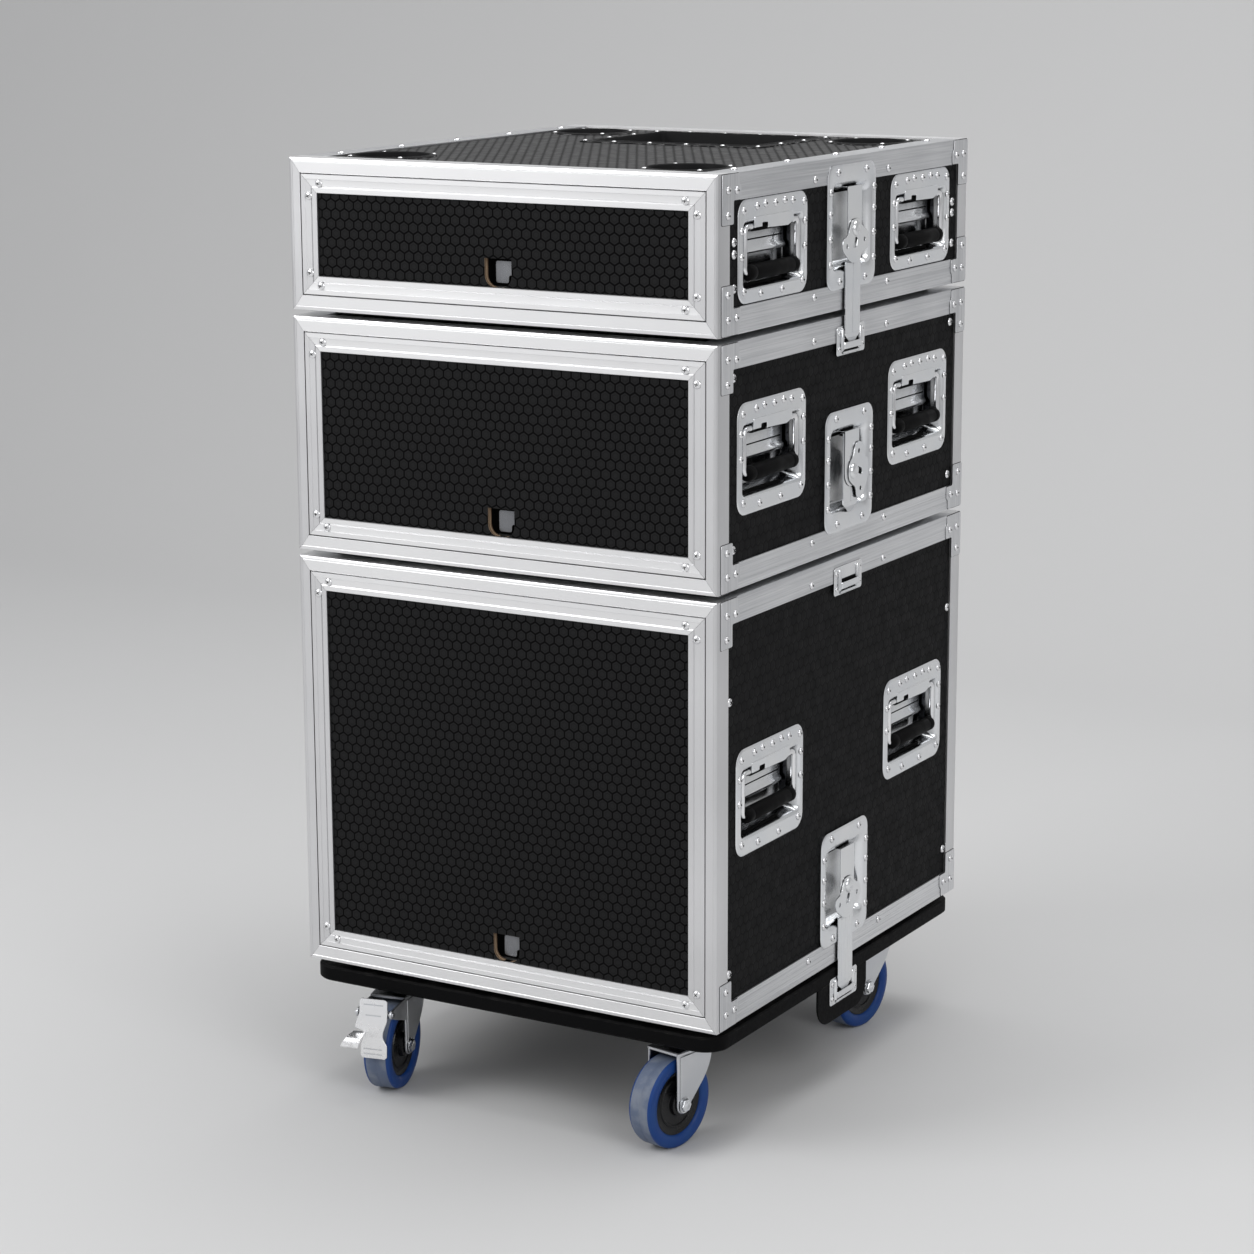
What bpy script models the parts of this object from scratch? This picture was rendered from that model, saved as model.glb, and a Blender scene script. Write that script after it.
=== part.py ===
"""Three stacked rack cases on a castor dolly, built piece by piece.

The front faces -Y, the floor is z = 0, and the stack stands on the origin.
Every unit has an aluminium edge frame, a plywood shell with pressed dishes,
two rack rails and two lift-off doors. Handles, latches, castors and doors move.
"""

import math

import bmesh
import bpy
from mathutils import Matrix, Vector

# Overall sizes, in metres
CASE_WIDTH = 0.560
CASE_DEPTH = 0.636
TOP_HEIGHT = 0.175
MIDDLE_HEIGHT = 0.275
BOTTOM_HEIGHT = 0.4965
UNIT_GAP = 0.007
SEAT = 0.0003

# Aluminium edge frame
RAIL_WALL = 0.002
RAIL_FLANGE = 0.030
END_FLANGE = 0.026
RACK_SETBACK = 0.003
SIDE_STRIP = 0.0145
TOP_STRIP = 0.0175
STOP_LIP = 0.006
PLATE_WALL = 0.0012
PLATE_INSET = 0.007
PLATE_LEG = 0.054
PLATE_LEG_WIDTH = 0.026
PLATE_ARM = 0.043

# Plywood shell
BOARD = 0.007
SKID_INSET = 0.012

# Doors
DOOR_GAP = 0.001
DOOR_FRAME = 0.0215
DOOR_BEAD = 0.006
DOOR_BEAD_RISE = 0.0012
PANEL_SETBACK = 0.0035
PANEL_WALL = 0.007
FINGER_WIDTH = 0.035
FINGER_HEIGHT = 0.032
FINGER_RADIUS = 0.013
POCKET_DEPTH = 0.010
POCKET_WALL = 0.0015

# Rack rails, to the 19 inch standard
RACK_CLEAR = 0.450
RACK_HOLE_SPACING = 0.4651
RACK_UNIT = 0.04445
RACK_HOLE = 0.0095
RACK_HOLE_OFFSETS = (0.00635, 0.022225, 0.0381)
RACK_RAIL_WALL = 0.002
RACK_RAIL_LEG = 0.018
RACK_RAIL_FLANGE = 0.013
RACK_LIP_GAP = 0.001

# Recessed spring handles
HANDLE_WIDTH = 0.164
HANDLE_RADIUS = 0.018
HANDLE_OFFSET = 0.189
HANDLE_HEAD = 0.026
HANDLE_SIDE = 0.013
HANDLE_FOOT = 0.018
HANDLE_MOUTH_CORNER = 0.003
HANDLE_DEPTH = 0.024
DISH_WALL = 0.0015
DISH_DRAFT = 0.004
DISH_LAP = 0.0005
BAIL_HALF = 0.0645
BAIL_DROP = 0.050
BAIL_WIRE = 0.0066
BAIL_PIN = 0.016
BAIL_SINK = 0.0045
GRIP_LENGTH = 0.118
GRIP_DIAMETER = 0.0195
TOP_HANDLE_HEIGHT = 0.1135
MIDDLE_HANDLE_HEIGHT = 0.125
BOTTOM_HANDLE_HEIGHT = 0.125
TOP_HANDLE_LEVEL = 0.0875
MIDDLE_HANDLE_LEVEL = 0.1425
BOTTOM_HANDLE_LEVEL = 0.255

# Butterfly latches
LATCH_WIDTH = 0.124
LATCH_HEIGHT = 0.142
LATCH_RADIUS = 0.016
LATCH_BASE = 0.024
LATCH_CAVITY_WIDTH = 0.089
LATCH_CAVITY_HEIGHT = 0.092
LATCH_DEPTH = 0.016
LATCH_HUB = 0.092
ARM_FOOT = 0.010
ARM_WIDTH = 0.036
STRAP_WIDTH = 0.038
STRAP_WALL = 0.0015
STRAP_TOP = 0.054
STRAP_REACH = 0.0335
STRAP_TAPER = 0.005
STRAP_LIP = 0.0025
STRAP_FOLD = 0.006
TONGUE_WIDTH = 0.028
TONGUE_TIP = 0.012
TONGUE_REACH = 0.040
STRAP_TRAVEL = 0.084
WING_WALL = 0.0017
WING_HALF = 0.035
WING_DROP = 0.040
LATCH_GAP = 0.0003

# Keepers that the latch straps drop into
KEEPER_WIDTH = 0.072
KEEPER_HEIGHT = 0.034
KEEPER_INSET = 0.0115
KEEPER_WALL = 0.0012
BRIDGE_HEIGHT = 0.0077
BRIDGE_LIFT = 0.0073
BRIDGE_SPAN = 0.044
BRIDGE_FOOT = 0.006
EAR_WIDTH = 0.007

# Castor cups and cable tray in the top board
CUP_DIAMETER = 0.104
CUP_RECESS = 0.088
CUP_DEPTH = 0.010
CUP_BEVEL = 0.004
CUP_WALL = 0.0015
CUP_RIM = 0.0025
CUP_SIDE_INSET = 0.085
CUP_FRONT_INSET = 0.085
CUP_REAR_INSET = 0.100
TRAY_CUP_GAP = 0.018
TRAY_LENGTH = 0.200
TRAY_FLANGE = 0.016
TRAY_DEPTH = 0.025
TRAY_WALL = 0.0015
TRAY_RIM = 0.003
TRAY_REAR_INSET = 0.056

# Dolly
DOLLY_BOARD = 0.018
DOLLY_RADIUS = 0.030
DOLLY_TAB_WIDTH = 0.130
DOLLY_TAB_DROP = 0.048
DOLLY_TAB_WALL = 0.003
DOLLY_TAB_RADIUS = 0.028

# Castors
CASTOR_HEIGHT = 0.128
CASTOR_LEFT_INSET = 0.092
CASTOR_RIGHT_INSET = 0.068
CASTOR_FRONT_INSET = 0.065
CASTOR_REAR_INSET = 0.097
CASTOR_PLATE = (0.100, 0.085)
CASTOR_PLATE_WALL = 0.0025
RACE_DIAMETER = 0.060
RACE_HEIGHT = 0.0075
FORK_WALL = 0.003
FORK_CROWN = 0.027
FORK_BOSS = 0.011
LEG_CLEARANCE = 0.0008
CASTOR_TRAIL = 0.040
WHEEL_DIAMETER = 0.107
WHEEL_WIDTH = 0.034
HUB_WIDTH = 0.038
HUB_DIAMETER = 0.030
WHEEL_RECESS = 0.005
TREAD_BEVEL = 0.003
RIM_DIAMETER = 0.076
AXLE_DIAMETER = 0.010
AXLE_CLEARANCE = 0.0004
NUT_DIAMETER = 0.017
NUT_HEIGHT = 0.005
NUT_SINK = 0.0005
PEDAL_WIDTH = 0.036
PEDAL_GAP = 0.006
PEDAL_WALL = 0.002
PEDAL_BEND = 175
PEDAL_END = 186
PEDAL_RISE = 0.050
PEDAL_HEAD = 0.010
PEDAL_PIN = 0.005
PEDAL_CLEARANCE = 0.0005
EAR_DROP = 0.024
FOOT_LEVEL = 0.022
FOOT_REACH = 0.042
FOOT_DROP = 0.004
FOOT_WIDTH = 0.022
FOOT_OUT = 0.008

# Rest angles of the castor swivels, in degrees about +Z
SWIVEL_REST = {
    "front_left": 12.0,
    "front_right": -11.0,
    "rear_left": 6.0,
    "rear_right": -9.0,
}
BRAKED = ("front_left", "rear_left")

# Levels worked out from the sizes above
DOLLY_TOP = CASTOR_HEIGHT + DOLLY_BOARD
BOTTOM_BASE = DOLLY_TOP + UNIT_GAP
MIDDLE_BASE = BOTTOM_BASE + BOTTOM_HEIGHT + UNIT_GAP
TOP_BASE = MIDDLE_BASE + MIDDLE_HEIGHT + UNIT_GAP
HALF_WIDTH = CASE_WIDTH / 2
HALF_DEPTH = CASE_DEPTH / 2
BOARD_FACE = HALF_WIDTH - RAIL_WALL - SEAT
DOOR_BACK = END_FLANGE - RAIL_WALL - SEAT
PIVOT_PLANE = HALF_WIDTH - BAIL_SINK
CUP_X = HALF_WIDTH - CUP_SIDE_INSET
TRAY_WIDTH = 2 * (CUP_X - CUP_DIAMETER / 2 - TRAY_CUP_GAP)
CASTOR_LEFT_X = CASTOR_LEFT_INSET - HALF_WIDTH
CASTOR_RIGHT_X = HALF_WIDTH - CASTOR_RIGHT_INSET

# Where each layer of the latch hardware stands, measured out from the rails
FLANGE_OUT = LATCH_GAP + KEEPER_WALL
STRAP_OUT = FLANGE_OUT + LATCH_GAP + STRAP_WALL
ARM_OUT = STRAP_OUT + LATCH_GAP + KEEPER_WALL
WING_OUT = ARM_OUT + LATCH_GAP + WING_WALL

ROUND_STEPS = 20
CUP_STEPS = 16
CORNER_STEPS = 2
SMOOTH_ANGLE = 35


class Unit:
    """The sizes in which one case of the stack differs from the others."""

    def __init__(self, name, base, height, handle_level, handle_height):
        self.name = name
        self.base = base
        self.height = height
        self.handle_level = handle_level
        self.handle_height = handle_height


UNITS = (
    Unit("bottom", BOTTOM_BASE, BOTTOM_HEIGHT, BOTTOM_HANDLE_LEVEL, BOTTOM_HANDLE_HEIGHT),
    Unit("middle", MIDDLE_BASE, MIDDLE_HEIGHT, MIDDLE_HANDLE_LEVEL, MIDDLE_HANDLE_HEIGHT),
    Unit("top", TOP_BASE, TOP_HEIGHT, TOP_HANDLE_LEVEL, TOP_HANDLE_HEIGHT),
)
UNLATCHED_UNIT = "middle"
SIDES = {"left": -1, "right": 1}
ENDS = {"front": -1, "rear": 1}


# Scene, collections and materials


def clear_scene():
    for obj in list(bpy.data.objects):
        bpy.data.objects.remove(obj, do_unlink=True)


def new_collection(name):
    collection = bpy.data.collections.new(name)
    bpy.context.scene.collection.children.link(collection)
    return collection


def new_material(name, colour, roughness, metallic=0.0):
    material = bpy.data.materials.new(name)
    material.use_nodes = True
    shader = material.node_tree.nodes["Principled BSDF"]
    shader.inputs["Base Color"].default_value = (*colour, 1.0)
    shader.inputs["Roughness"].default_value = roughness
    shader.inputs["Metallic"].default_value = metallic
    material.diffuse_color = (*colour, 1.0)
    return material


clear_scene()
PARTS = new_collection("rack_case")
CUTTERS = new_collection("rack_case_cutters")
ALUMINIUM = new_material("brushed_aluminium", (0.62, 0.62, 0.63), 0.35, 1.0)
ZINC = new_material("zinc_steel", (0.56, 0.57, 0.59), 0.3, 1.0)
BLACK_BOARD = new_material("black_laminate", (0.018, 0.018, 0.019), 0.55)
BLACK_PLY = new_material("black_ply", (0.012, 0.012, 0.012), 0.6)
BLACK_STEEL = new_material("black_steel", (0.02, 0.02, 0.021), 0.4, 0.6)
RUBBER = new_material("grip_rubber", (0.015, 0.015, 0.015), 0.7)
TYRE = new_material("blue_tyre", (0.02, 0.09, 0.30), 0.5)


# Outlines: lists of (x, y) points in a flat plane


def rectangle(width, height, x=0.0, y=0.0):
    w, h = width / 2, height / 2
    return [(x - w, y - h), (x + w, y - h), (x + w, y + h), (x - w, y + h)]


def arc(x, y, radius, start, end, steps):
    """Points along an arc; angles in degrees, both ends included."""
    points = []
    for i in range(steps + 1):
        angle = math.radians(start + (end - start) * i / steps)
        points.append((x + radius * math.cos(angle), y + radius * math.sin(angle)))
    return points


def rounded_rectangle(width, height, radius, x=0.0, y=0.0, steps=CORNER_STEPS):
    w, h = width / 2 - radius, height / 2 - radius
    corners = ((w, h, 0), (-w, h, 90), (-w, -h, 180), (w, -h, 270))
    points = []
    for cx, cy, start in corners:
        points += arc(x + cx, y + cy, radius, start, start + 90, steps)
    return points


# Frames of reference: local X, Y, Z of a flat outline placed on a face


def plane(origin, x_axis, y_axis):
    x_axis, y_axis = Vector(x_axis), Vector(y_axis)
    z_axis = x_axis.cross(y_axis)
    turn = Matrix((x_axis, y_axis, z_axis)).transposed().to_4x4()
    return Matrix.Translation(origin) @ turn


def side_plane(side, x=0.0, y=0.0, z=0.0):
    """Outline x runs to the right as seen from outside, y runs up, depth runs out."""
    return plane((side * x, y, z), (0, side, 0), (0, 0, 1))


def end_plane(end, x=0.0, y=0.0, z=0.0):
    return plane((x, end * y, z), (-end, 0, 0), (0, 0, 1))


def flat_plane(x=0.0, y=0.0, z=0.0):
    return plane((x, y, z), (1, 0, 0), (0, 1, 0))


# Making solids


def add_mesh_object(name, mesh, material, collection=None):
    obj = bpy.data.objects.new(name, mesh)
    (collection or PARTS).objects.link(obj)
    mesh.materials.clear()
    mesh.materials.append(material)
    mesh.shade_smooth()
    mesh.set_sharp_from_angle(angle=math.radians(SMOOTH_ANGLE))
    return obj


def tidy_mesh(mesh, weld=0.00001):
    """Welds the loose caps of a former curve and turns every face outward."""
    work = bmesh.new()
    work.from_mesh(mesh)
    bmesh.ops.remove_doubles(work, verts=work.verts, dist=weld)
    bmesh.ops.recalc_face_normals(work, faces=work.faces)
    work.to_mesh(mesh)
    work.free()


def mesh_of(obj):
    """The evaluated mesh of a helper object, which is then removed."""
    graph = bpy.context.evaluated_depsgraph_get()
    mesh = bpy.data.meshes.new_from_object(obj.evaluated_get(graph))
    mesh.transform(obj.matrix_world)
    bpy.data.objects.remove(obj, do_unlink=True)
    return mesh


def prism(loops, low, high, place, material=ALUMINIUM):
    """Extrudes a flat outline, with any holes, from depth low to depth high."""
    curve = bpy.data.curves.new("outline", "CURVE")
    curve.dimensions = "2D"
    curve.fill_mode = "BOTH"
    curve.extrude = (high - low) / 2
    for loop in loops:
        spline = curve.splines.new("POLY")
        spline.points.add(len(loop) - 1)
        for point, (x, y) in zip(spline.points, loop):
            point.co = (x, y, 0.0, 1.0)
        spline.use_cyclic_u = True
    helper = bpy.data.objects.new("outline", curve)
    PARTS.objects.link(helper)
    mesh = mesh_of(helper)
    tidy_mesh(mesh)
    mesh.transform(place @ Matrix.Translation((0, 0, (low + high) / 2)))
    return add_mesh_object("piece", mesh, material)


def block(size, centre, material=ALUMINIUM):
    bpy.ops.mesh.primitive_cube_add(size=1.0)
    obj = bpy.context.object
    mesh = obj.data
    mesh.transform(Matrix.Translation(centre) @ Matrix.Diagonal((*size, 1.0)))
    bpy.data.objects.remove(obj, do_unlink=True)
    return add_mesh_object("piece", mesh, material)


def rod(radius, length, place, material=ALUMINIUM, steps=ROUND_STEPS, top_radius=None):
    """A cylinder or a cone whose axis is local Z, from z = 0 to z = length."""
    work = bmesh.new()
    bmesh.ops.create_cone(
        work,
        cap_ends=True,
        segments=steps,
        radius1=radius,
        radius2=radius if top_radius is None else top_radius,
        depth=length,
    )
    mesh = bpy.data.meshes.new("rod")
    work.to_mesh(mesh)
    work.free()
    mesh.transform(place @ Matrix.Translation((0, 0, length / 2)))
    return add_mesh_object("piece", mesh, material)


def turned(profile, place, material, steps=ROUND_STEPS):
    """Turns a closed (radius, height) profile about local Z; an edge on the axis is left out."""
    mesh = bpy.data.meshes.new("profile")
    count = len(profile)
    ends = [(i, (i + 1) % count) for i in range(count)]
    edges = [(i, j) for i, j in ends if profile[i][0] > 0 or profile[j][0] > 0]
    mesh.from_pydata([(r, 0.0, z) for r, z in profile], edges, [])
    helper = bpy.data.objects.new("profile", mesh)
    PARTS.objects.link(helper)
    screw = helper.modifiers.new("turn", "SCREW")
    screw.angle = math.tau
    screw.steps = steps
    screw.render_steps = steps
    screw.use_merge_vertices = True
    screw.merge_threshold = 0.00005
    result = mesh_of(helper)
    tidy_mesh(result)
    result.transform(place)
    return add_mesh_object("piece", result, material)


def wire(points, diameter, place, material):
    """A bent round wire with closed ends."""
    curve = bpy.data.curves.new("wire", "CURVE")
    curve.dimensions = "3D"
    curve.bevel_depth = diameter / 2
    curve.bevel_resolution = 2
    curve.use_fill_caps = True
    spline = curve.splines.new("POLY")
    spline.points.add(len(points) - 1)
    for point, position in zip(spline.points, points):
        point.co = (*position, 1.0)
    helper = bpy.data.objects.new("wire", curve)
    PARTS.objects.link(helper)
    mesh = mesh_of(helper)
    tidy_mesh(mesh)
    mesh.transform(place)
    return add_mesh_object("piece", mesh, material)


def pan(outline_of, depth, wall, draft, place, material):
    """A pressed pan: a shell from an open surface with Solidify, its mouth at local z = 0.

    outline_of(shrink) gives the inner outline, drawn in by shrink. The mouth laps
    into the flange round it, so that the two share no edge.
    """
    mouth = outline_of(-DISH_LAP)
    floor = outline_of(draft)
    work = bmesh.new()
    upper = [work.verts.new((x, y, 0.0)) for x, y in mouth]
    lower = [work.verts.new((x, y, -depth)) for x, y in floor]
    count = len(mouth)
    for i in range(count):
        j = (i + 1) % count
        work.faces.new((upper[i], upper[j], lower[j], lower[i]))
    work.faces.new(lower)
    bmesh.ops.recalc_face_normals(work, faces=work.faces)
    if work.faces[:][-1].normal.z > 0:
        bmesh.ops.reverse_faces(work, faces=work.faces)
    mesh = bpy.data.meshes.new("pan")
    work.to_mesh(mesh)
    work.free()
    helper = bpy.data.objects.new("pan", mesh)
    PARTS.objects.link(helper)
    solidify = helper.modifiers.new("wall", "SOLIDIFY")
    solidify.thickness = wall
    solidify.offset = 1.0
    solidify.use_even_offset = True
    result = mesh_of(helper)
    tidy_mesh(result)
    result.transform(place)
    return add_mesh_object("piece", result, material)


# Joining, cutting and naming


def combine(body, others, operation):
    """The mesh of one body joined with, or cut by, all the others in one Boolean."""
    if others:
        group = new_collection("operands")
        for other in others:
            group.objects.link(other)
        boolean = body.modifiers.new("combine", "BOOLEAN")
        boolean.operation = operation
        boolean.solver = "EXACT"
        boolean.operand_type = "COLLECTION"
        boolean.collection = group
    bpy.context.view_layer.update()
    graph = bpy.context.evaluated_depsgraph_get()
    mesh = bpy.data.meshes.new_from_object(body.evaluated_get(graph))
    for obj in [body] + others:
        bpy.data.objects.remove(obj, do_unlink=True)
    if others:
        bpy.data.collections.remove(group)
    return mesh


def fuse(name, pieces, material):
    """Unites overlapping pieces into one named body."""
    mesh = combine(pieces[0], pieces[1:], "UNION")
    tidy_mesh(mesh, weld=0.000002)
    obj = add_mesh_object(name, mesh, material)
    obj.data.name = name
    return obj


def cut(obj, cutter):
    """Leaves a live cut on the object; the cutter stays in its own collection."""
    for collection in list(cutter.users_collection):
        collection.objects.unlink(cutter)
    CUTTERS.objects.link(cutter)
    cutter.name = obj.name + "_cutter"
    cutter.hide_render = True
    cutter.display_type = "WIRE"
    boolean = obj.modifiers.new("cut", "BOOLEAN")
    boolean.operation = "DIFFERENCE"
    boolean.solver = "EXACT"
    boolean.object = cutter


def moved(obj, location):
    obj.location = location
    return obj


# The aluminium edge frame


def ring_outline(width, height, inner_width, inner_height, centre_height):
    outer = rectangle(width, height, y=centre_height)
    inner = rectangle(inner_width, inner_height, y=centre_height)
    return [outer, inner]


def end_ring(unit, end):
    """The mitred ring at one end: side walls, front lip and the stop for the door."""
    middle = unit.height / 2
    face = end_plane(end, y=HALF_DEPTH)
    walls = ring_outline(
        CASE_WIDTH, unit.height, CASE_WIDTH - 2 * RAIL_WALL, unit.height - 2 * RAIL_WALL, middle
    )
    opening_width = CASE_WIDTH - 2 * SIDE_STRIP
    opening_height = unit.height - 2 * TOP_STRIP
    lip = ring_outline(
        CASE_WIDTH - RAIL_WALL, unit.height - RAIL_WALL, opening_width, opening_height, middle
    )
    stop = ring_outline(
        CASE_WIDTH - RAIL_WALL,
        unit.height - RAIL_WALL,
        opening_width - 2 * STOP_LIP,
        opening_height - 2 * STOP_LIP,
        middle,
    )
    return [
        prism(walls, -END_FLANGE, 0.0, face),
        prism(lip, -RAIL_WALL, 0.0, face),
        prism(stop, -END_FLANGE, RAIL_WALL - END_FLANGE, face),
    ]


def long_rail(side, level, top):
    """An angle rail along the case: one flange on the side, one on the top or bottom."""
    up = -1 if top else 1
    outline = [
        (0.0, 0.0),
        (0.0, up * RAIL_FLANGE),
        (-RAIL_WALL, up * RAIL_FLANGE),
        (-RAIL_WALL, up * RAIL_WALL),
        (-RAIL_FLANGE, up * RAIL_WALL),
        (-RAIL_FLANGE, 0.0),
    ]
    place = plane((side * HALF_WIDTH, 0.0, level), (side, 0, 0), (0, 0, 1))
    reach = HALF_DEPTH - RAIL_WALL / 2
    return prism([outline], -reach, reach, place)


def corner_plate(unit, side, end, top):
    """The flat L plate riveted over a corner of the frame."""
    up = -1 if top else 1
    level = unit.height - 0.001 if top else 0.001
    inset = PLATE_INSET if end < 0 else 0.001
    toward = -end
    edge = end * (HALF_DEPTH - inset)
    outline = [
        (edge, level),
        (edge + toward * PLATE_ARM, level),
        (edge + toward * PLATE_ARM, level + up * (RAIL_FLANGE - 0.0015)),
        (edge + toward * PLATE_LEG_WIDTH, level + up * (RAIL_FLANGE - 0.0015)),
        (edge + toward * PLATE_LEG_WIDTH, level + up * PLATE_LEG),
        (edge, level + up * PLATE_LEG),
    ]
    outline = [(side * y, z) for y, z in outline]
    return prism([outline], -RAIL_WALL / 2, PLATE_WALL, side_plane(side, x=HALF_WIDTH))


def keeper(side, top_level):
    """A latch keeper: a flat base plate and the raised bridge that takes the strap."""
    centre = top_level - KEEPER_HEIGHT / 2
    face = side_plane(side, x=HALF_WIDTH)
    base = prism(
        [rounded_rectangle(KEEPER_WIDTH, KEEPER_HEIGHT, 0.003, y=centre, steps=1)],
        -RAIL_WALL / 2,
        KEEPER_WALL,
        face,
        ZINC,
    )
    inner = STRAP_OUT + LATCH_GAP
    outer = inner + KEEPER_WALL
    half = BRIDGE_SPAN / 2
    profile = [
        (-half - BRIDGE_FOOT, KEEPER_WALL / 2),
        (-half - BRIDGE_FOOT, 2 * KEEPER_WALL),
        (-half - KEEPER_WALL, 2 * KEEPER_WALL),
        (-half, outer),
        (half, outer),
        (half + KEEPER_WALL, 2 * KEEPER_WALL),
        (half + BRIDGE_FOOT, 2 * KEEPER_WALL),
        (half + BRIDGE_FOOT, KEEPER_WALL / 2),
        (half, KEEPER_WALL / 2),
        (half - KEEPER_WALL, inner),
        (-half + KEEPER_WALL, inner),
        (-half, KEEPER_WALL / 2),
    ]
    level = top_level - KEEPER_HEIGHT + BRIDGE_LIFT
    down_from = plane((side * HALF_WIDTH, 0.0, level), (0, side, 0), (side, 0, 0))
    bridge = prism([profile], -BRIDGE_HEIGHT, 0.0, down_from, ZINC)
    ears = []
    for sign in (-1, 1):
        ear = arc(sign * (half + KEEPER_WALL), KEEPER_WALL / 2, EAR_WIDTH / 2, 0, 180, 4)
        low, high = BRIDGE_LIFT - KEEPER_HEIGHT / 2, KEEPER_HEIGHT / 2 - EAR_WIDTH / 2
        upright = plane((side * HALF_WIDTH, 0.0, centre), (0, side, 0), (side, 0, 0))
        ears.append(prism([ear], -high, -low, upright, ZINC))
    return [base, bridge] + ears


def build_frame(unit):
    pieces = end_ring(unit, -1) + end_ring(unit, 1)
    for side in (-1, 1):
        pieces.append(long_rail(side, unit.height, True))
        pieces.append(long_rail(side, 0.0, False))
        for end in (-1, 1):
            pieces.append(corner_plate(unit, side, end, True))
            pieces.append(corner_plate(unit, side, end, False))
        if unit.name != "top":
            pieces += keeper(side, unit.height - KEEPER_INSET)
    return moved(fuse(unit.name + "_frame", pieces, ALUMINIUM), (0, 0, unit.base))


# The plywood shell with its pressed dishes


def handle_opening(unit, shrink=0.0):
    """The mouth of the handle dish, in side-plane coordinates about the handle's centre."""
    width = HANDLE_WIDTH - 2 * HANDLE_SIDE
    height = unit.handle_height - HANDLE_HEAD - HANDLE_FOOT
    middle = (HANDLE_FOOT - HANDLE_HEAD) / 2
    return rounded_rectangle(
        width - 2 * shrink, height - 2 * shrink, HANDLE_MOUTH_CORNER, y=middle, steps=1
    )


def pivot_level(unit):
    """Height of a handle's pivot above its unit's base."""
    return unit.handle_level + unit.handle_height / 2 - HANDLE_HEAD - BAIL_SINK


def handle_dish(unit, side, offset):
    """Flange, pan and the hinge block between the two ends of the bail."""
    face = side_plane(side, x=BOARD_FACE, y=offset, z=unit.handle_level)
    flange = prism(
        [
            rounded_rectangle(HANDLE_WIDTH, unit.handle_height, HANDLE_RADIUS),
            handle_opening(unit),
        ],
        -BOARD / 2,
        DISH_WALL,
        face,
        ZINC,
    )
    dish = pan(
        lambda shrink: handle_opening(unit, shrink),
        HANDLE_DEPTH,
        DISH_WALL,
        DISH_DRAFT,
        face @ Matrix.Translation((0, 0, DISH_WALL / 2)),
        ZINC,
    )
    top = pivot_level(unit) - unit.handle_level + BAIL_SINK
    inner = BAIL_HALF - BAIL_PIN - 0.001
    hinge_block = prism(
        [rectangle(2 * inner, 2 * BAIL_SINK + 0.004, y=top - BAIL_SINK)],
        -HANDLE_DEPTH,
        DISH_WALL - 0.0002,
        face,
        ZINC,
    )
    return [flange, dish, hinge_block]


def latch_opening(shrink=0.0):
    return rounded_rectangle(
        LATCH_CAVITY_WIDTH - 2 * shrink, LATCH_CAVITY_HEIGHT - 2 * shrink, 0.006, steps=1
    )


def latch_dish(side):
    """Flange over the rails, pan, and the arm that carries the wing above the strap."""
    centre = LATCH_BASE + LATCH_HEIGHT / 2
    face = side_plane(side, x=HALF_WIDTH, z=centre)
    flange = prism(
        [rounded_rectangle(LATCH_WIDTH, LATCH_HEIGHT, LATCH_RADIUS), latch_opening()],
        LATCH_GAP,
        FLANGE_OUT,
        face,
        ZINC,
    )
    dish = pan(
        lambda shrink: latch_opening(shrink),
        LATCH_DEPTH,
        DISH_WALL,
        DISH_DRAFT,
        face @ Matrix.Translation((0, 0, (LATCH_GAP + FLANGE_OUT) / 2)),
        ZINC,
    )
    hub = LATCH_HUB - centre
    top = LATCH_HEIGHT / 2 - 0.004
    arm = prism(
        [
            [(-ARM_WIDTH / 2, top), (-ARM_WIDTH / 2, hub)]
            + arc(0.0, hub, ARM_WIDTH / 2, 180, 360, 4)[1:-1]
            + [(ARM_WIDTH / 2, hub), (ARM_WIDTH / 2, top)]
        ],
        ARM_OUT - KEEPER_WALL,
        ARM_OUT,
        face,
        ZINC,
    )
    return [flange, dish, arm]


def arm_foot(side, level, height, low, high):
    """The step that joins the latch arm to the flange behind it."""
    return prism(
        [rectangle(ARM_WIDTH - 0.001, height, y=level)],
        low,
        high,
        side_plane(side, x=HALF_WIDTH),
        ZINC,
    )


def board_tube(unit):
    """The four glued boards: a square tube, with the skid that the unit stands on."""
    lift = RAIL_WALL + SEAT
    reach = HALF_DEPTH - END_FLANGE - SEAT
    outer = rectangle(2 * BOARD_FACE, unit.height - 2 * lift, y=unit.height / 2)
    inner = rectangle(
        2 * (BOARD_FACE - BOARD), unit.height - 2 * lift - 2 * BOARD, y=unit.height / 2
    )
    tube = prism([outer, inner], -reach, reach, end_plane(-1), BLACK_BOARD)
    skid = block(
        (
            CASE_WIDTH - 2 * RAIL_FLANGE - 2 * SEAT,
            2 * reach - 2 * SKID_INSET,
            UNIT_GAP + lift + BOARD / 2 - SEAT,
        ),
        (0.0, 0.0, (lift + BOARD / 2 - UNIT_GAP + SEAT) / 2),
        BLACK_BOARD,
    )
    return [tube, skid]


def wall_hole(loop, side, x, y, z):
    """Cutter through one side board, wide enough for a dish's outer wall."""
    return prism([loop], -2 * BOARD, BOARD, side_plane(side, x=x, y=y, z=z))


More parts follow.
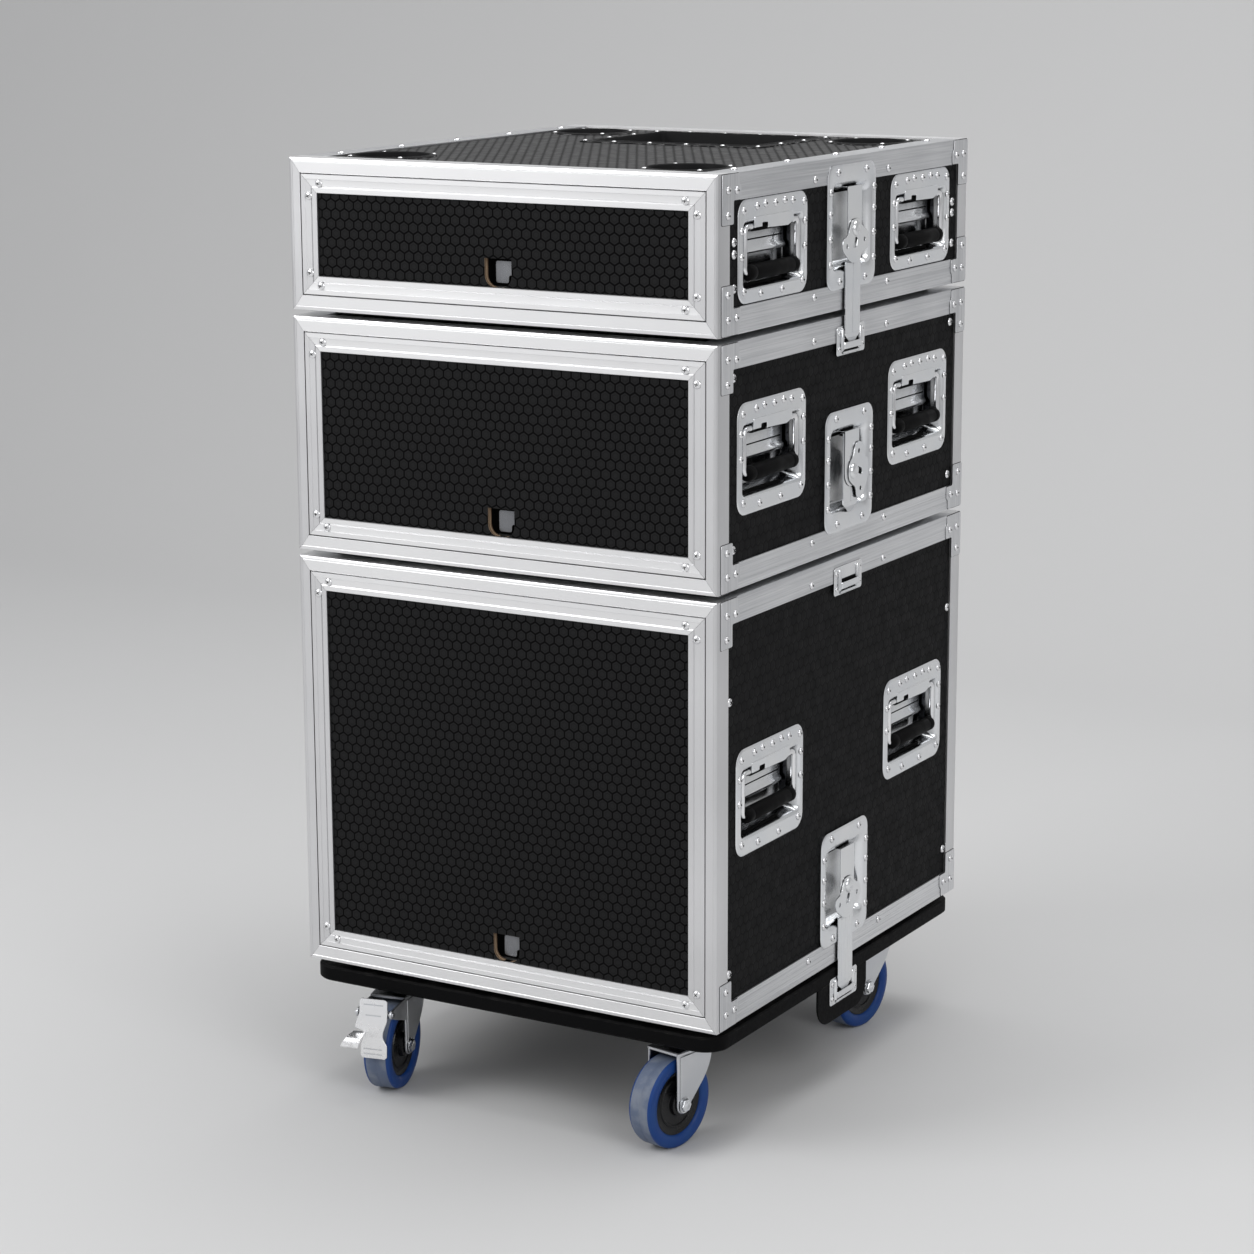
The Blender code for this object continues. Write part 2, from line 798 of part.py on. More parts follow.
def build_shell(unit):
    """Boards first, holes next, then the dishes fused into the holes."""
    name = unit.name + "_shell"
    tube = fuse("boards", board_tube(unit), BLACK_BOARD)
    holes = []
    dishes = []
    latch_centre = LATCH_BASE + LATCH_HEIGHT / 2
    for side in (-1, 1):
        for offset in (-HANDLE_OFFSET, HANDLE_OFFSET):
            holes.append(
                wall_hole(handle_opening(unit, -DISH_LAP / 2), side, BOARD_FACE, offset,
                          unit.handle_level)
            )
            dishes += handle_dish(unit, side, offset)
        holes.append(wall_hole(latch_opening(), side, HALF_WIDTH, 0.0, latch_centre))
        dishes += latch_dish(side)
        level = LATCH_BASE + LATCH_HEIGHT - ARM_FOOT
        dishes.append(
            arm_foot(side, level, ARM_FOOT, LATCH_GAP + 0.0002, ARM_OUT - 0.0002)
        )
    if unit.name == "top":
        holes += top_board_holes(unit)
    boards = add_mesh_object("boards", combine(tube, holes, "DIFFERENCE"), BLACK_BOARD)
    shell = fuse(name, [boards] + dishes, BLACK_BOARD)
    return moved(shell, (0, 0, unit.base))


# Castor cups and the cable tray


def cup_positions():
    front = -HALF_DEPTH + CUP_FRONT_INSET
    rear = HALF_DEPTH - CUP_REAR_INSET
    return {
        "front_left": (-CUP_X, front),
        "front_right": (CUP_X, front),
        "rear_left": (-CUP_X, rear),
        "rear_right": (CUP_X, rear),
    }


def tray_centre():
    return HALF_DEPTH - TRAY_REAR_INSET - TRAY_LENGTH / 2


def top_board_holes(unit):
    """Cutters through the top board for the cups and the tray."""
    level = unit.height - RAIL_WALL - SEAT
    holes = []
    for x, y in cup_positions().values():
        place = Matrix.Translation((x, y, level - 2 * BOARD))
        radius = CUP_RECESS / 2 + CUP_WALL + SEAT
        holes.append(rod(radius, 3 * BOARD, place, steps=CUP_STEPS))
    mouth = (
        TRAY_WIDTH - 2 * TRAY_FLANGE + 2 * (TRAY_WALL + SEAT),
        TRAY_LENGTH - 2 * TRAY_FLANGE + 2 * (TRAY_WALL + SEAT),
        3 * BOARD,
    )
    holes.append(block(mouth, (0.0, tray_centre(), level - BOARD / 2)))
    return holes


def build_cups(unit):
    """Round pressed cups that take the castors of another stack."""
    rim = CUP_DIAMETER / 2
    bowl = CUP_RECESS / 2
    profile = [
        (0.0, -CUP_DEPTH),
        (bowl - CUP_BEVEL, -CUP_DEPTH),
        (bowl, -CUP_DEPTH + CUP_BEVEL),
        (bowl, CUP_RIM),
        (rim - 0.003, CUP_RIM - 0.0008),
        (rim, SEAT),
        (bowl + CUP_WALL, SEAT),
        (bowl + CUP_WALL, -CUP_DEPTH),
        (bowl - 0.003, -CUP_DEPTH - CUP_WALL),
        (0.0, -CUP_DEPTH - CUP_WALL),
    ]
    level = unit.base + unit.height - RAIL_WALL - SEAT
    for name, (x, y) in cup_positions().items():
        cup = turned(profile, Matrix(), BLACK_STEEL, steps=CUP_STEPS)
        cup.name = "castor_cup_" + name
        cup.location = (x, y, level)


def build_tray(unit):
    """The recessed cable tray: a raised frame and a deep pan."""
    outer = rounded_rectangle(TRAY_WIDTH, TRAY_LENGTH, 0.010)
    width = TRAY_WIDTH - 2 * TRAY_FLANGE
    length = TRAY_LENGTH - 2 * TRAY_FLANGE

    def mouth(shrink):
        return rounded_rectangle(width - 2 * shrink, length - 2 * shrink, 0.006, steps=1)

    place = flat_plane()
    flange = prism([outer, mouth(0.0)], SEAT, TRAY_WALL + SEAT, place, BLACK_STEEL)
    bead = prism(
        [
            rounded_rectangle(width + 0.010, length + 0.010, 0.008),
            mouth(0.0),
        ],
        TRAY_WALL / 2,
        TRAY_RIM,
        place,
        BLACK_STEEL,
    )
    dish = pan(
        mouth,
        TRAY_DEPTH,
        TRAY_WALL,
        DISH_DRAFT,
        Matrix.Translation((0, 0, TRAY_WALL)),
        BLACK_STEEL,
    )
    tray = fuse("cable_tray", [flange, bead, dish], BLACK_STEEL)
    level = unit.base + unit.height - RAIL_WALL - SEAT
    return moved(tray, (0.0, tray_centre(), level))


# Rack rails


def rack_units(unit):
    room = unit.height - 2 * (RAIL_WALL + SEAT + BOARD)
    return int(room // RACK_UNIT)


def build_rack_rail(unit, side_name):
    """A front rack rail: a folded strip with the three-hole pattern of each rack unit.

    Its front leg ends inside the door's stop, and its last fold lies on the side board.
    """
    side = SIDES[side_name]
    floor = RAIL_WALL + SEAT + BOARD + SEAT
    length = unit.height - 2 * floor
    outer = BOARD_FACE - BOARD - SEAT
    inner = RACK_CLEAR / 2
    bend = HALF_WIDTH - SIDE_STRIP - STOP_LIP - RACK_LIP_GAP
    wall = RACK_RAIL_WALL
    outline = [
        (side * inner, 0.0),
        (side * bend, 0.0),
        (side * bend, RACK_RAIL_LEG - wall),
        (side * (outer - wall), RACK_RAIL_LEG - wall),
        (side * (outer - wall), RACK_RAIL_LEG - RACK_RAIL_FLANGE),
        (side * outer, RACK_RAIL_LEG - RACK_RAIL_FLANGE),
        (side * outer, RACK_RAIL_LEG),
        (side * (bend - wall), RACK_RAIL_LEG),
        (side * (bend - wall), wall),
        (side * inner, wall),
    ]
    angle = prism([outline], floor, floor + length, flat_plane(), ZINC)
    rail = fuse(f"{unit.name}_{side_name}_rack_rail", [angle], ZINC)
    count = rack_units(unit)
    start = (unit.height - count * RACK_UNIT) / 2
    holes = []
    for index in range(count):
        for offset in RACK_HOLE_OFFSETS:
            level = start + index * RACK_UNIT + offset
            holes.append(rectangle(RACK_HOLE, RACK_HOLE, y=level))
    cutter = prism(
        holes,
        -2 * RACK_RAIL_WALL,
        2 * RACK_RAIL_WALL,
        end_plane(-1, x=side * RACK_HOLE_SPACING / 2),
    )
    cut(rail, cutter)
    front = -HALF_DEPTH + END_FLANGE + RACK_SETBACK
    for obj in (rail, cutter):
        obj.location = (0.0, front, unit.base)
    return rail


# Doors


def finger_outline(bottom):
    """Finger hole in the panel: square above, rounded below."""
    half = FINGER_WIDTH / 2
    low = bottom
    high = bottom + FINGER_HEIGHT
    r = FINGER_RADIUS
    return (
        arc(-half + r, low + r, r, 180, 270, CORNER_STEPS)
        + arc(half - r, low + r, r, 270, 360, CORNER_STEPS)
        + [(half, high), (-half, high)]
    )


def build_door(unit, end_name):
    """A lift-off door: mitred extrusion frame, panel, and the pocket behind the finger hole."""
    end = ENDS[end_name]
    middle = unit.height / 2
    width = CASE_WIDTH - 2 * SIDE_STRIP - 2 * DOOR_GAP
    height = unit.height - 2 * TOP_STRIP - 2 * DOOR_GAP
    face = end_plane(end, y=HALF_DEPTH)
    clear_width = width - 2 * DOOR_FRAME
    clear_height = height - 2 * DOOR_FRAME

    def ring(outer_shrink, inner_grow, low, high):
        loops = ring_outline(
            width - 2 * outer_shrink,
            height - 2 * outer_shrink,
            clear_width + 2 * inner_grow,
            clear_height + 2 * inner_grow,
            middle,
        )
        return prism(loops, low, high, face)

    pieces = [
        ring(0.0, 0.0, -DOOR_BACK, -DOOR_BEAD_RISE),
        ring(0.0005, DOOR_FRAME - DOOR_BEAD, -0.004, 0.0),
        ring(DOOR_FRAME - DOOR_BEAD, 0.0005, -0.004, -DOOR_BEAD_RISE / 2),
    ]
    panel_bottom = middle - clear_height / 2
    panel_loop = rectangle(clear_width + DOOR_FRAME, clear_height + DOOR_FRAME, y=middle)
    hole = finger_outline(panel_bottom)
    panel_low = -PANEL_SETBACK - PANEL_WALL
    pieces.append(prism([panel_loop, hole], panel_low, -PANEL_SETBACK, face, BLACK_BOARD))
    pocket_height = FINGER_HEIGHT + 0.008
    pocket_middle = panel_bottom + FINGER_HEIGHT / 2

    def pocket(shrink):
        return rectangle(
            FINGER_WIDTH + 0.008 - 2 * shrink, pocket_height - 2 * shrink, y=pocket_middle
        )

    pieces.append(
        pan(
            pocket,
            POCKET_DEPTH,
            POCKET_WALL,
            0.0,
            face @ Matrix.Translation((0, 0, panel_low + 0.001)),
            ZINC,
        )
    )
    door = fuse(f"{unit.name}_{end_name}_door", pieces, ALUMINIUM)
    return moved(door, (0, 0, unit.base))


# Handles


def build_handle(unit, side_name, end_name):
    """The sprung bail: bent wire with a rubber grip, hinged at its two pins."""
    side, end = SIDES[side_name], ENDS[end_name]
    pin = BAIL_HALF - BAIL_PIN
    bend = 0.006
    path = [
        (0.0, -pin, 0.0),
        (0.0, -BAIL_HALF + bend, 0.0),
        (0.0, -BAIL_HALF, -bend),
        (0.0, -BAIL_HALF, -BAIL_DROP + bend),
        (0.0, -BAIL_HALF + bend, -BAIL_DROP),
        (0.0, BAIL_HALF - bend, -BAIL_DROP),
        (0.0, BAIL_HALF, -BAIL_DROP + bend),
        (0.0, BAIL_HALF, -bend),
        (0.0, BAIL_HALF - bend, 0.0),
        (0.0, pin, 0.0),
    ]
    bail = wire(path, BAIL_WIRE, Matrix(), ZINC)
    along = plane((0.0, -GRIP_LENGTH / 2, -BAIL_DROP), (0, 0, 1), (1, 0, 0))
    grip = rod(GRIP_DIAMETER / 2, GRIP_LENGTH, along, RUBBER, steps=10)
    name = f"{unit.name}_{side_name}_{end_name}_handle"
    handle = fuse(name, [bail, grip], RUBBER)
    handle.location = (
        side * PIVOT_PLANE,
        end * HANDLE_OFFSET,
        unit.base + pivot_level(unit),
    )
    return handle


# Latches


def wing_outline():
    """The butterfly wing with its claw: two lobes round a notch, drawn hanging down."""
    half, drop = WING_HALF, WING_DROP
    return (
        arc(0.0, 0.0, 0.013, 20, 160, 4)
        + [(-0.020, -0.010), (-half + 0.004, -0.006)]
        + arc(-half + 0.010, -0.014, 0.010, 150, 220, 2)
        + [(-0.020, -drop + 0.008), (-0.008, -drop)]
        + [(0.008, -drop), (0.020, -drop + 0.008)]
        + arc(half - 0.010, -0.014, 0.010, -40, 30, 2)
        + [(half - 0.004, -0.006), (0.020, -0.010)]
    )


def build_wing(unit, side_name):
    side = SIDES[side_name]
    inner = ARM_OUT + LATCH_GAP
    face = side_plane(side)
    plate = prism([wing_outline()], inner, WING_OUT, face, ZINC)
    hub = rod(0.009, 0.0035, face @ Matrix.Translation((0, 0, WING_OUT - 0.0005)), ZINC,
              steps=12, top_radius=0.006)
    wing = fuse(f"{unit.name}_{side_name}_latch_wing", [plate, hub], ZINC)
    wing.location = (side * HALF_WIDTH, 0.0, unit.base + LATCH_HUB)
    if unit.name == UNLATCHED_UNIT:
        wing.rotation_euler = (side * math.radians(90), 0.0, 0.0)
    return wing


def build_hook(unit, side_name):
    """The flat strap: a folded lip at its upper end, a narrower tongue at its lower end."""
    side = SIDES[side_name]
    inner = FLANGE_OUT + LATCH_GAP
    face = side_plane(side)
    half = STRAP_WIDTH / 2
    tongue = TONGUE_WIDTH / 2
    outline = [
        (-half, STRAP_TOP),
        (-half, STRAP_TAPER - STRAP_REACH),
        (-tongue, -STRAP_REACH),
        (-TONGUE_TIP / 2, -TONGUE_REACH),
        (TONGUE_TIP / 2, -TONGUE_REACH),
        (tongue, -STRAP_REACH),
        (half, STRAP_TAPER - STRAP_REACH),
        (half, STRAP_TOP),
    ]
    strap = prism([outline], inner, STRAP_OUT, face, ZINC)
    lip = prism(
        [rectangle(STRAP_WIDTH, STRAP_LIP, y=STRAP_TOP - 0.6 * STRAP_LIP)],
        inner - STRAP_FOLD,
        inner + STRAP_WALL / 2,
        face,
        ZINC,
    )
    hook = fuse(f"{unit.name}_{side_name}_latch_hook", [strap, lip], ZINC)
    lift = STRAP_TRAVEL if unit.name == UNLATCHED_UNIT else 0.0
    hook.location = (side * HALF_WIDTH, 0.0, unit.base + lift)
    return hook


# Dolly and castors


def castor_positions():
    front = -HALF_DEPTH + CASTOR_FRONT_INSET
    rear = HALF_DEPTH - CASTOR_REAR_INSET
    return {
        "front_left": (CASTOR_LEFT_X, front),
        "front_right": (CASTOR_RIGHT_X, front),
        "rear_left": (CASTOR_LEFT_X, rear),
        "rear_right": (CASTOR_RIGHT_X, rear),
    }


def dolly_tab(side):
    """The tab below the board's edge that carries the lower keeper."""
    half = DOLLY_TAB_WIDTH / 2
    low = CASTOR_HEIGHT - DOLLY_TAB_DROP
    r = DOLLY_TAB_RADIUS
    outline = (
        arc(-half + r, low + r, r, 180, 270, CORNER_STEPS)
        + arc(half - r, low + r, r, 270, 360, CORNER_STEPS)
        + [(half, CASTOR_HEIGHT + 0.002), (-half, CASTOR_HEIGHT + 0.002)]
    )
    return prism([outline], -DOLLY_TAB_WALL, 0.0, side_plane(side, x=HALF_WIDTH), BLACK_PLY)


def build_dolly():
    """Board, tabs with keepers, and the castors' top plates with their swivel races."""
    outline = rounded_rectangle(CASE_WIDTH, CASE_DEPTH, DOLLY_RADIUS)
    pieces = [prism([outline], CASTOR_HEIGHT, DOLLY_TOP, flat_plane(), BLACK_PLY)]
    for side in (-1, 1):
        pieces.append(dolly_tab(side))
        pieces += keeper(side, BOTTOM_BASE - UNIT_GAP - KEEPER_INSET)
    race_top = CASTOR_HEIGHT - CASTOR_PLATE_WALL
    for x, y in castor_positions().values():
        pieces.append(
            block(
                (*CASTOR_PLATE, CASTOR_PLATE_WALL + 0.001),
                (x, y, CASTOR_HEIGHT - (CASTOR_PLATE_WALL - 0.001) / 2),
                ZINC,
            )
        )
        place = Matrix.Translation((x, y, race_top - RACE_HEIGHT))
        pieces.append(rod(RACE_DIAMETER / 2, RACE_HEIGHT + 0.001, place, ZINC, steps=16,
                          top_radius=RACE_DIAMETER / 2 - 0.004))
    return fuse("dolly_board", pieces, BLACK_PLY)


def crown_level():
    """Upper face of the fork's crown."""
    return CASTOR_HEIGHT - CASTOR_PLATE_WALL - RACE_HEIGHT - SEAT


def build_fork(corner, empty):
    """Crown, two tapered legs and the axle, about the swivel axis."""
    top = crown_level()
    radius = WHEEL_DIAMETER / 2
    axle_level = radius
    leg_inner = HUB_WIDTH / 2 + LEG_CLEARANCE
    leg_outer = leg_inner + FORK_WALL
    front = -CASTOR_TRAIL - FORK_BOSS
    crown_outline = (
        [(leg_outer, front)]
        + arc(0.0, 0.0, FORK_CROWN, 0, 180, 8)
        + [(-leg_outer, front)]
    )
    crown = prism([crown_outline], top - 2 * FORK_WALL, top, flat_plane(), ZINC)
    leg_outline = (
        arc(-CASTOR_TRAIL, axle_level, FORK_BOSS, 180, 350, 6)
        + [
            (-CASTOR_TRAIL + 0.026, axle_level + 0.0125),
            (-CASTOR_TRAIL + 0.0407, axle_level + 0.0288),
            (-CASTOR_TRAIL + 0.048, axle_level + 0.0435),
            (0.0125, top - FORK_WALL / 2),
            (front, top - FORK_WALL / 2),
        ]
    )
    pieces = [crown]
    pin_y, pin_z = pedal_pivot()
    pin_y -= CASTOR_TRAIL
    pin_z += axle_level
    ear_outline = arc(pin_y, pin_z, PEDAL_PIN, 90, 270, 4) + [
        (-CASTOR_TRAIL, pin_z - EAR_DROP),
        (-CASTOR_TRAIL, top - FORK_WALL / 2),
    ]
    for side in (-1, 1):
        face = plane((side * leg_inner, 0, 0), (0, 1, 0), (0, 0, 1))
        low, high = (0.0, FORK_WALL) if side > 0 else (-FORK_WALL, 0.0)
        pieces.append(prism([leg_outline], low, high, face, ZINC))
        if corner in BRAKED:
            pieces.append(prism([ear_outline], low, high, face, ZINC))
    if corner in BRAKED:
        across = plane((-leg_outer, pin_y, pin_z), (0, 1, 0), (0, 0, 1))
        pieces.append(rod(PEDAL_PIN / 2, 2 * leg_outer, across, ZINC, steps=12))
    half = leg_outer + NUT_HEIGHT - NUT_SINK
    along = plane((-half, -CASTOR_TRAIL, axle_level), (0, 1, 0), (0, 0, 1))
    pieces.append(rod(AXLE_DIAMETER / 2, 2 * half, along, ZINC, steps=12))
    for start in (-half, leg_outer - NUT_SINK):
        nut = plane((start, -CASTOR_TRAIL, axle_level), (0, 1, 0), (0, 0, 1))
        pieces.append(rod(NUT_DIAMETER / 2, NUT_HEIGHT, nut, ZINC, steps=6))
    fork = fuse(f"{corner}_castor_fork", pieces, ZINC)
    fork.parent = empty
    return fork


def build_wheel(corner, empty):
    """Tyre on a flanged core, turned about the axle."""
    radius = WHEEL_DIAMETER / 2
    bore = AXLE_DIAMETER / 2 + AXLE_CLEARANCE
    half = WHEEL_WIDTH / 2
    hub_half = HUB_WIDTH / 2
    hub = HUB_DIAMETER / 2
    rim = RIM_DIAMETER / 2
    right = [
        (bore, hub_half),
        (hub, hub_half),
        (hub, half - WHEEL_RECESS),
        (rim, half - WHEEL_RECESS),
        (radius - TREAD_BEVEL, half),
        (radius, half - TREAD_BEVEL),
    ]
    left = [(r, -z) for r, z in reversed(right)]
    along = plane((0, 0, 0), (0, 1, 0), (0, 0, 1))
    wheel = turned(right + left, along, TYRE)
    wheel.name = f"{corner}_castor_wheel"
    wheel.parent = empty
    wheel.location = (0.0, -CASTOR_TRAIL, radius)
    return wheel


def pedal_pivot():
    """Where the pedal's pin stands, as (along the trail, up) from the axle."""
    radius = WHEEL_DIAMETER / 2 + PEDAL_GAP
    bend = math.radians(PEDAL_BEND)
    out = Vector((math.cos(bend), math.sin(bend)))
    up = Vector((out.y, -out.x))
    return out * (radius - PEDAL_PIN / 2 - PEDAL_CLEARANCE) + up * PEDAL_RISE


def build_pedal(corner, empty):
    """The brake cover: straight down from its pin, then round the tyre, with a foot tab."""
    radius = WHEEL_DIAMETER / 2 + PEDAL_GAP
    bend = math.radians(PEDAL_BEND)
    out = Vector((math.cos(bend), math.sin(bend)))
    up = Vector((out.y, -out.x))
    pivot = pedal_pivot()
    head = PEDAL_RISE + PEDAL_HEAD
    inner = arc(0.0, 0.0, radius, PEDAL_BEND, PEDAL_END, 4)
    outer = arc(0.0, 0.0, radius + PEDAL_WALL, PEDAL_END, PEDAL_BEND, 4)
    top = [out * (radius + PEDAL_WALL) + up * head, out * radius + up * head]
    half = PEDAL_WIDTH / 2
    place = plane((-half, 0.0, 0.0), (0, 1, 0), (0, 0, 1))
    outline = inner + outer + [(point.x, point.y) for point in top]
    cover = prism([outline], 0.0, PEDAL_WIDTH, place, ZINC)
    bore = PEDAL_PIN / 2 + PEDAL_CLEARANCE
    ring = [
        arc(pivot.x, pivot.y, bore + PEDAL_WALL, 0, 360, 12)[:-1],
        arc(pivot.x, pivot.y, bore, 0, 360, 12)[:-1],
    ]
    knuckle = prism(ring, 0.0, PEDAL_WIDTH, place, ZINC)
    climb = (FOOT_LEVEL - out.y * radius) / up.y
    reach = out.x * (radius + PEDAL_WALL / 2) + up.x * climb
    foot_outline = [
        (reach, FOOT_LEVEL + 2 * PEDAL_WALL),
        (reach - FOOT_REACH * 0.7, FOOT_LEVEL + PEDAL_WALL / 2),
        (reach - FOOT_REACH, FOOT_LEVEL - FOOT_DROP),
        (reach - FOOT_REACH, FOOT_LEVEL - FOOT_DROP - PEDAL_WALL),
        (reach - FOOT_REACH * 0.7, FOOT_LEVEL - PEDAL_WALL),
        (reach, FOOT_LEVEL),
    ]
    foot = prism([foot_outline], -FOOT_OUT, FOOT_WIDTH - FOOT_OUT, place, ZINC)
    pedal = fuse(f"{corner}_brake_pedal", [cover, knuckle, foot], ZINC)
    origin = Vector((0.0, pivot.x, pivot.y))
    pedal.data.transform(Matrix.Translation(-origin))
    pedal.parent = empty
    pedal.location = origin + Vector((0.0, -CASTOR_TRAIL, WHEEL_DIAMETER / 2))
    return pedal


def build_castor(corner, position):
    """The moving half of one castor, parented to an empty on the swivel axis."""
    empty = bpy.data.objects.new(corner + "_swivel", None)
    PARTS.objects.link(empty)
    empty.location = (*position, 0.0)
    empty.rotation_euler = (0.0, 0.0, math.radians(SWIVEL_REST[corner]))
    build_fork(corner, empty)
    build_wheel(corner, empty)
    if corner in BRAKED:
        build_pedal(corner, empty)


# The whole stack


def centre_on_origin():
    """Hangs every part on one empty and moves that so the stack's box is centred."""
    bpy.context.view_layer.update()
    graph = bpy.context.evaluated_depsgraph_get()
    low = Vector((math.inf, math.inf, math.inf))
    high = -low
    for obj in PARTS.objects:
        if obj.type != "MESH":
            continue
        evaluated = obj.evaluated_get(graph)
        for vertex in evaluated.data.vertices:
            point = evaluated.matrix_world @ vertex.co
            low = Vector(map(min, low, point))
            high = Vector(map(max, high, point))
    stack = bpy.data.objects.new("stack_origin", None)
    stack_parts = [obj for obj in PARTS.objects if obj.parent is None]
    stack_cutters = [obj for obj in CUTTERS.objects if obj.parent is None]
    PARTS.objects.link(stack)
    for obj in stack_parts + stack_cutters:
        obj.parent = stack
    stack.location = (-(low.x + high.x) / 2, -(low.y + high.y) / 2, -low.z)


def build_stack():
    build_dolly()
    for corner, position in castor_positions().items():
        build_castor(corner, position)
    for unit in UNITS:
        build_frame(unit)
        build_shell(unit)
        for side_name in SIDES:
            build_rack_rail(unit, side_name)
            build_wing(unit, side_name)
            build_hook(unit, side_name)
            for end_name in ENDS:
                build_handle(unit, side_name, end_name)
        for end_name in ENDS:
            build_door(unit, end_name)
    build_cups(UNITS[-1])
    build_tray(UNITS[-1])
    centre_on_origin()


build_stack()
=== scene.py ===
"""Looks of the stacked rack case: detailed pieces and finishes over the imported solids."""

import logging
import math
from collections.abc import Sequence
from dataclasses import dataclass, field
from enum import Enum

import bmesh
import bpy
from mathutils import Matrix, Vector


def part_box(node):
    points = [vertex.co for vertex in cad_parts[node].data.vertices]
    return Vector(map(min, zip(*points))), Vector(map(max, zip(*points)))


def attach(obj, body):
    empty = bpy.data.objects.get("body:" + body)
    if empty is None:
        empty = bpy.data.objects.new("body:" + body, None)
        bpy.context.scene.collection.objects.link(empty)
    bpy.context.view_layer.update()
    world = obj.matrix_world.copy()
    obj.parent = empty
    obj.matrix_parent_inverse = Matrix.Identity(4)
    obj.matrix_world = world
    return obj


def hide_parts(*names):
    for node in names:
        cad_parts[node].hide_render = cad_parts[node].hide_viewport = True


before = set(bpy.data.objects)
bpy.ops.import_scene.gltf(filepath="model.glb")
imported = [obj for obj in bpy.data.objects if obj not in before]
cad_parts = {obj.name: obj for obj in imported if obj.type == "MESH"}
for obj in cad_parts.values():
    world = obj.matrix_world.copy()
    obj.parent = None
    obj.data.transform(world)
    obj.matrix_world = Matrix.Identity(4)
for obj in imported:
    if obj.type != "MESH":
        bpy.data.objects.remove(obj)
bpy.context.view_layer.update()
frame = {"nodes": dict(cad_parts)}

LOG = logging.getLogger("rack_case")

Point = tuple[float, float]
Loop = list[Point]
Spot = tuple[float, float, float]
Colour = tuple[float, float, float]
MERGE_DISTANCE = 0.000002
QUADRANTS = ((-1, -1), (-1, 1), (1, -1), (1, 1))

# Sizes shared by several sub-assemblies, in metres
HALF_WIDTH = 0.28
HALF_DEPTH = 0.318
RAIL_WALL = 0.002
SEAT = 0.0003
BOARD = 0.007
UNIT_GAP = 0.007
BOARD_FACE = HALF_WIDTH - RAIL_WALL - SEAT
END_FLANGE = 0.026
RAIL_FLANGE = 0.03
SIDE_STRIP = 0.0145
TOP_STRIP = 0.0175
CASTOR_HEIGHT = 0.128
HANDLE_OFFSET = 0.189
HANDLE_HEAD = 0.026
LATCH_HUB = 0.092
MITRE_GAP = 0.00018
CENTRE_Y = sum(corner.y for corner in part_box("bottom_shell")) / 2
STACK_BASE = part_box("bottom_frame")[0].z


class Side(Enum):
    """The two long sides of the stack."""

    LEFT = -1
    RIGHT = 1

    @property
    def word(self) -> str:
        """Name of the side as the nodes spell it."""
        return self.name.lower()


class End(Enum):
    """The two ends that take a door."""

    FRONT = -1
    REAR = 1

    @property
    def word(self) -> str:
        """Name of the end as the nodes spell it."""
        return self.name.lower()


class Axis(Enum):
    """The direction that a brushed grain runs in."""

    X = 0
    Y = 1
    Z = 2


class Slot(Enum):
    """Material slots of the record."""

    ALUMINIUM = "aluminium"
    ZINC = "zinc_steel"
    LAMINATE = "black_laminate"
    PLY = "black_ply"
    BLACK_STEEL = "black_steel"
    GRIP = "grip_rubber"
    TYRE = "blue_tyre"


# Outlines


def arc(x: float, y: float, radius: float, start: float, end: float, steps: int) -> Loop:
    """Points along an arc, both ends included; angles in degrees."""
    turns = [math.radians(start + (end - start) * i / steps) for i in range(steps + 1)]
    return [(x + radius * math.cos(t), y + radius * math.sin(t)) for t in turns]


def rectangle(width: float, height: float, x: float = 0.0, y: float = 0.0) -> Loop:
    """A rectangle about (x, y), counter-clockwise."""
    w, h = width / 2, height / 2
    return [(x - w, y - h), (x + w, y - h), (x + w, y + h), (x - w, y + h)]


def rounded_rectangle(
    width: float, height: float, radius: float, x: float = 0.0, y: float = 0.0, steps: int = 5
) -> Loop:
    """A rectangle with round corners, counter-clockwise from the right of the top right one."""
    w, h = width / 2 - radius, height / 2 - radius
    corners = ((w, h, 0), (-w, h, 90), (-w, -h, 180), (w, -h, 270))
    points: Loop = []
    for cx, cy, start in corners:
        points += arc(x + cx, y + cy, radius, start, start + 90, steps)
    return points


def filleted(corners: Sequence[Point], radius: float, steps: int = 3) -> Loop:
    """Rounds every corner of an outline.

    Args:
        corners: the corners in order.
        radius: how far from a corner its rounding starts, at most half an edge.
        steps: straight parts in each rounding.

    Returns:
        The outline with its corners replaced by short curves.
    """
    points: Loop = []
    count = len(corners)
    for i in range(count):
        corner = Vector(corners[i])
        before = Vector(corners[i - 1]) - corner
        after = Vector(corners[(i + 1) % count]) - corner
        start = corner + before.normalized() * min(radius, before.length * 0.49)
        end = corner + after.normalized() * min(radius, after.length * 0.49)
        for step in range(steps + 1):
            t = step / steps
            spot = start * (1 - t) ** 2 + corner * 2 * t * (1 - t) + end * t**2
            points.append((spot.x, spot.y))
    return points


def inset(outline: Loop, distance: float) -> Loop:
    """Draws a counter-clockwise outline in by a distance, with mitred corners."""
    area = sum(
        a[0] * b[1] - b[0] * a[1] for a, b in zip(outline, outline[1:] + outline[:1])
    )
    turn = 1 if area > 0 else -1
    result: Loop = []
    count = len(outline)
    for i in range(count):
        here = Vector(outline[i])
        into = (here - Vector(outline[i - 1])).normalized()
        out_of = (Vector(outline[(i + 1) % count]) - here).normalized()
        first = Vector((-into.y, into.x))
        second = Vector((-out_of.y, out_of.x))
        share = max(0.35, 1 + first.dot(second))
        spot = here + (first + second) * (turn * distance / share)
        result.append((spot.x, spot.y))
    return result


# Places: where a flat outline stands in the row frame


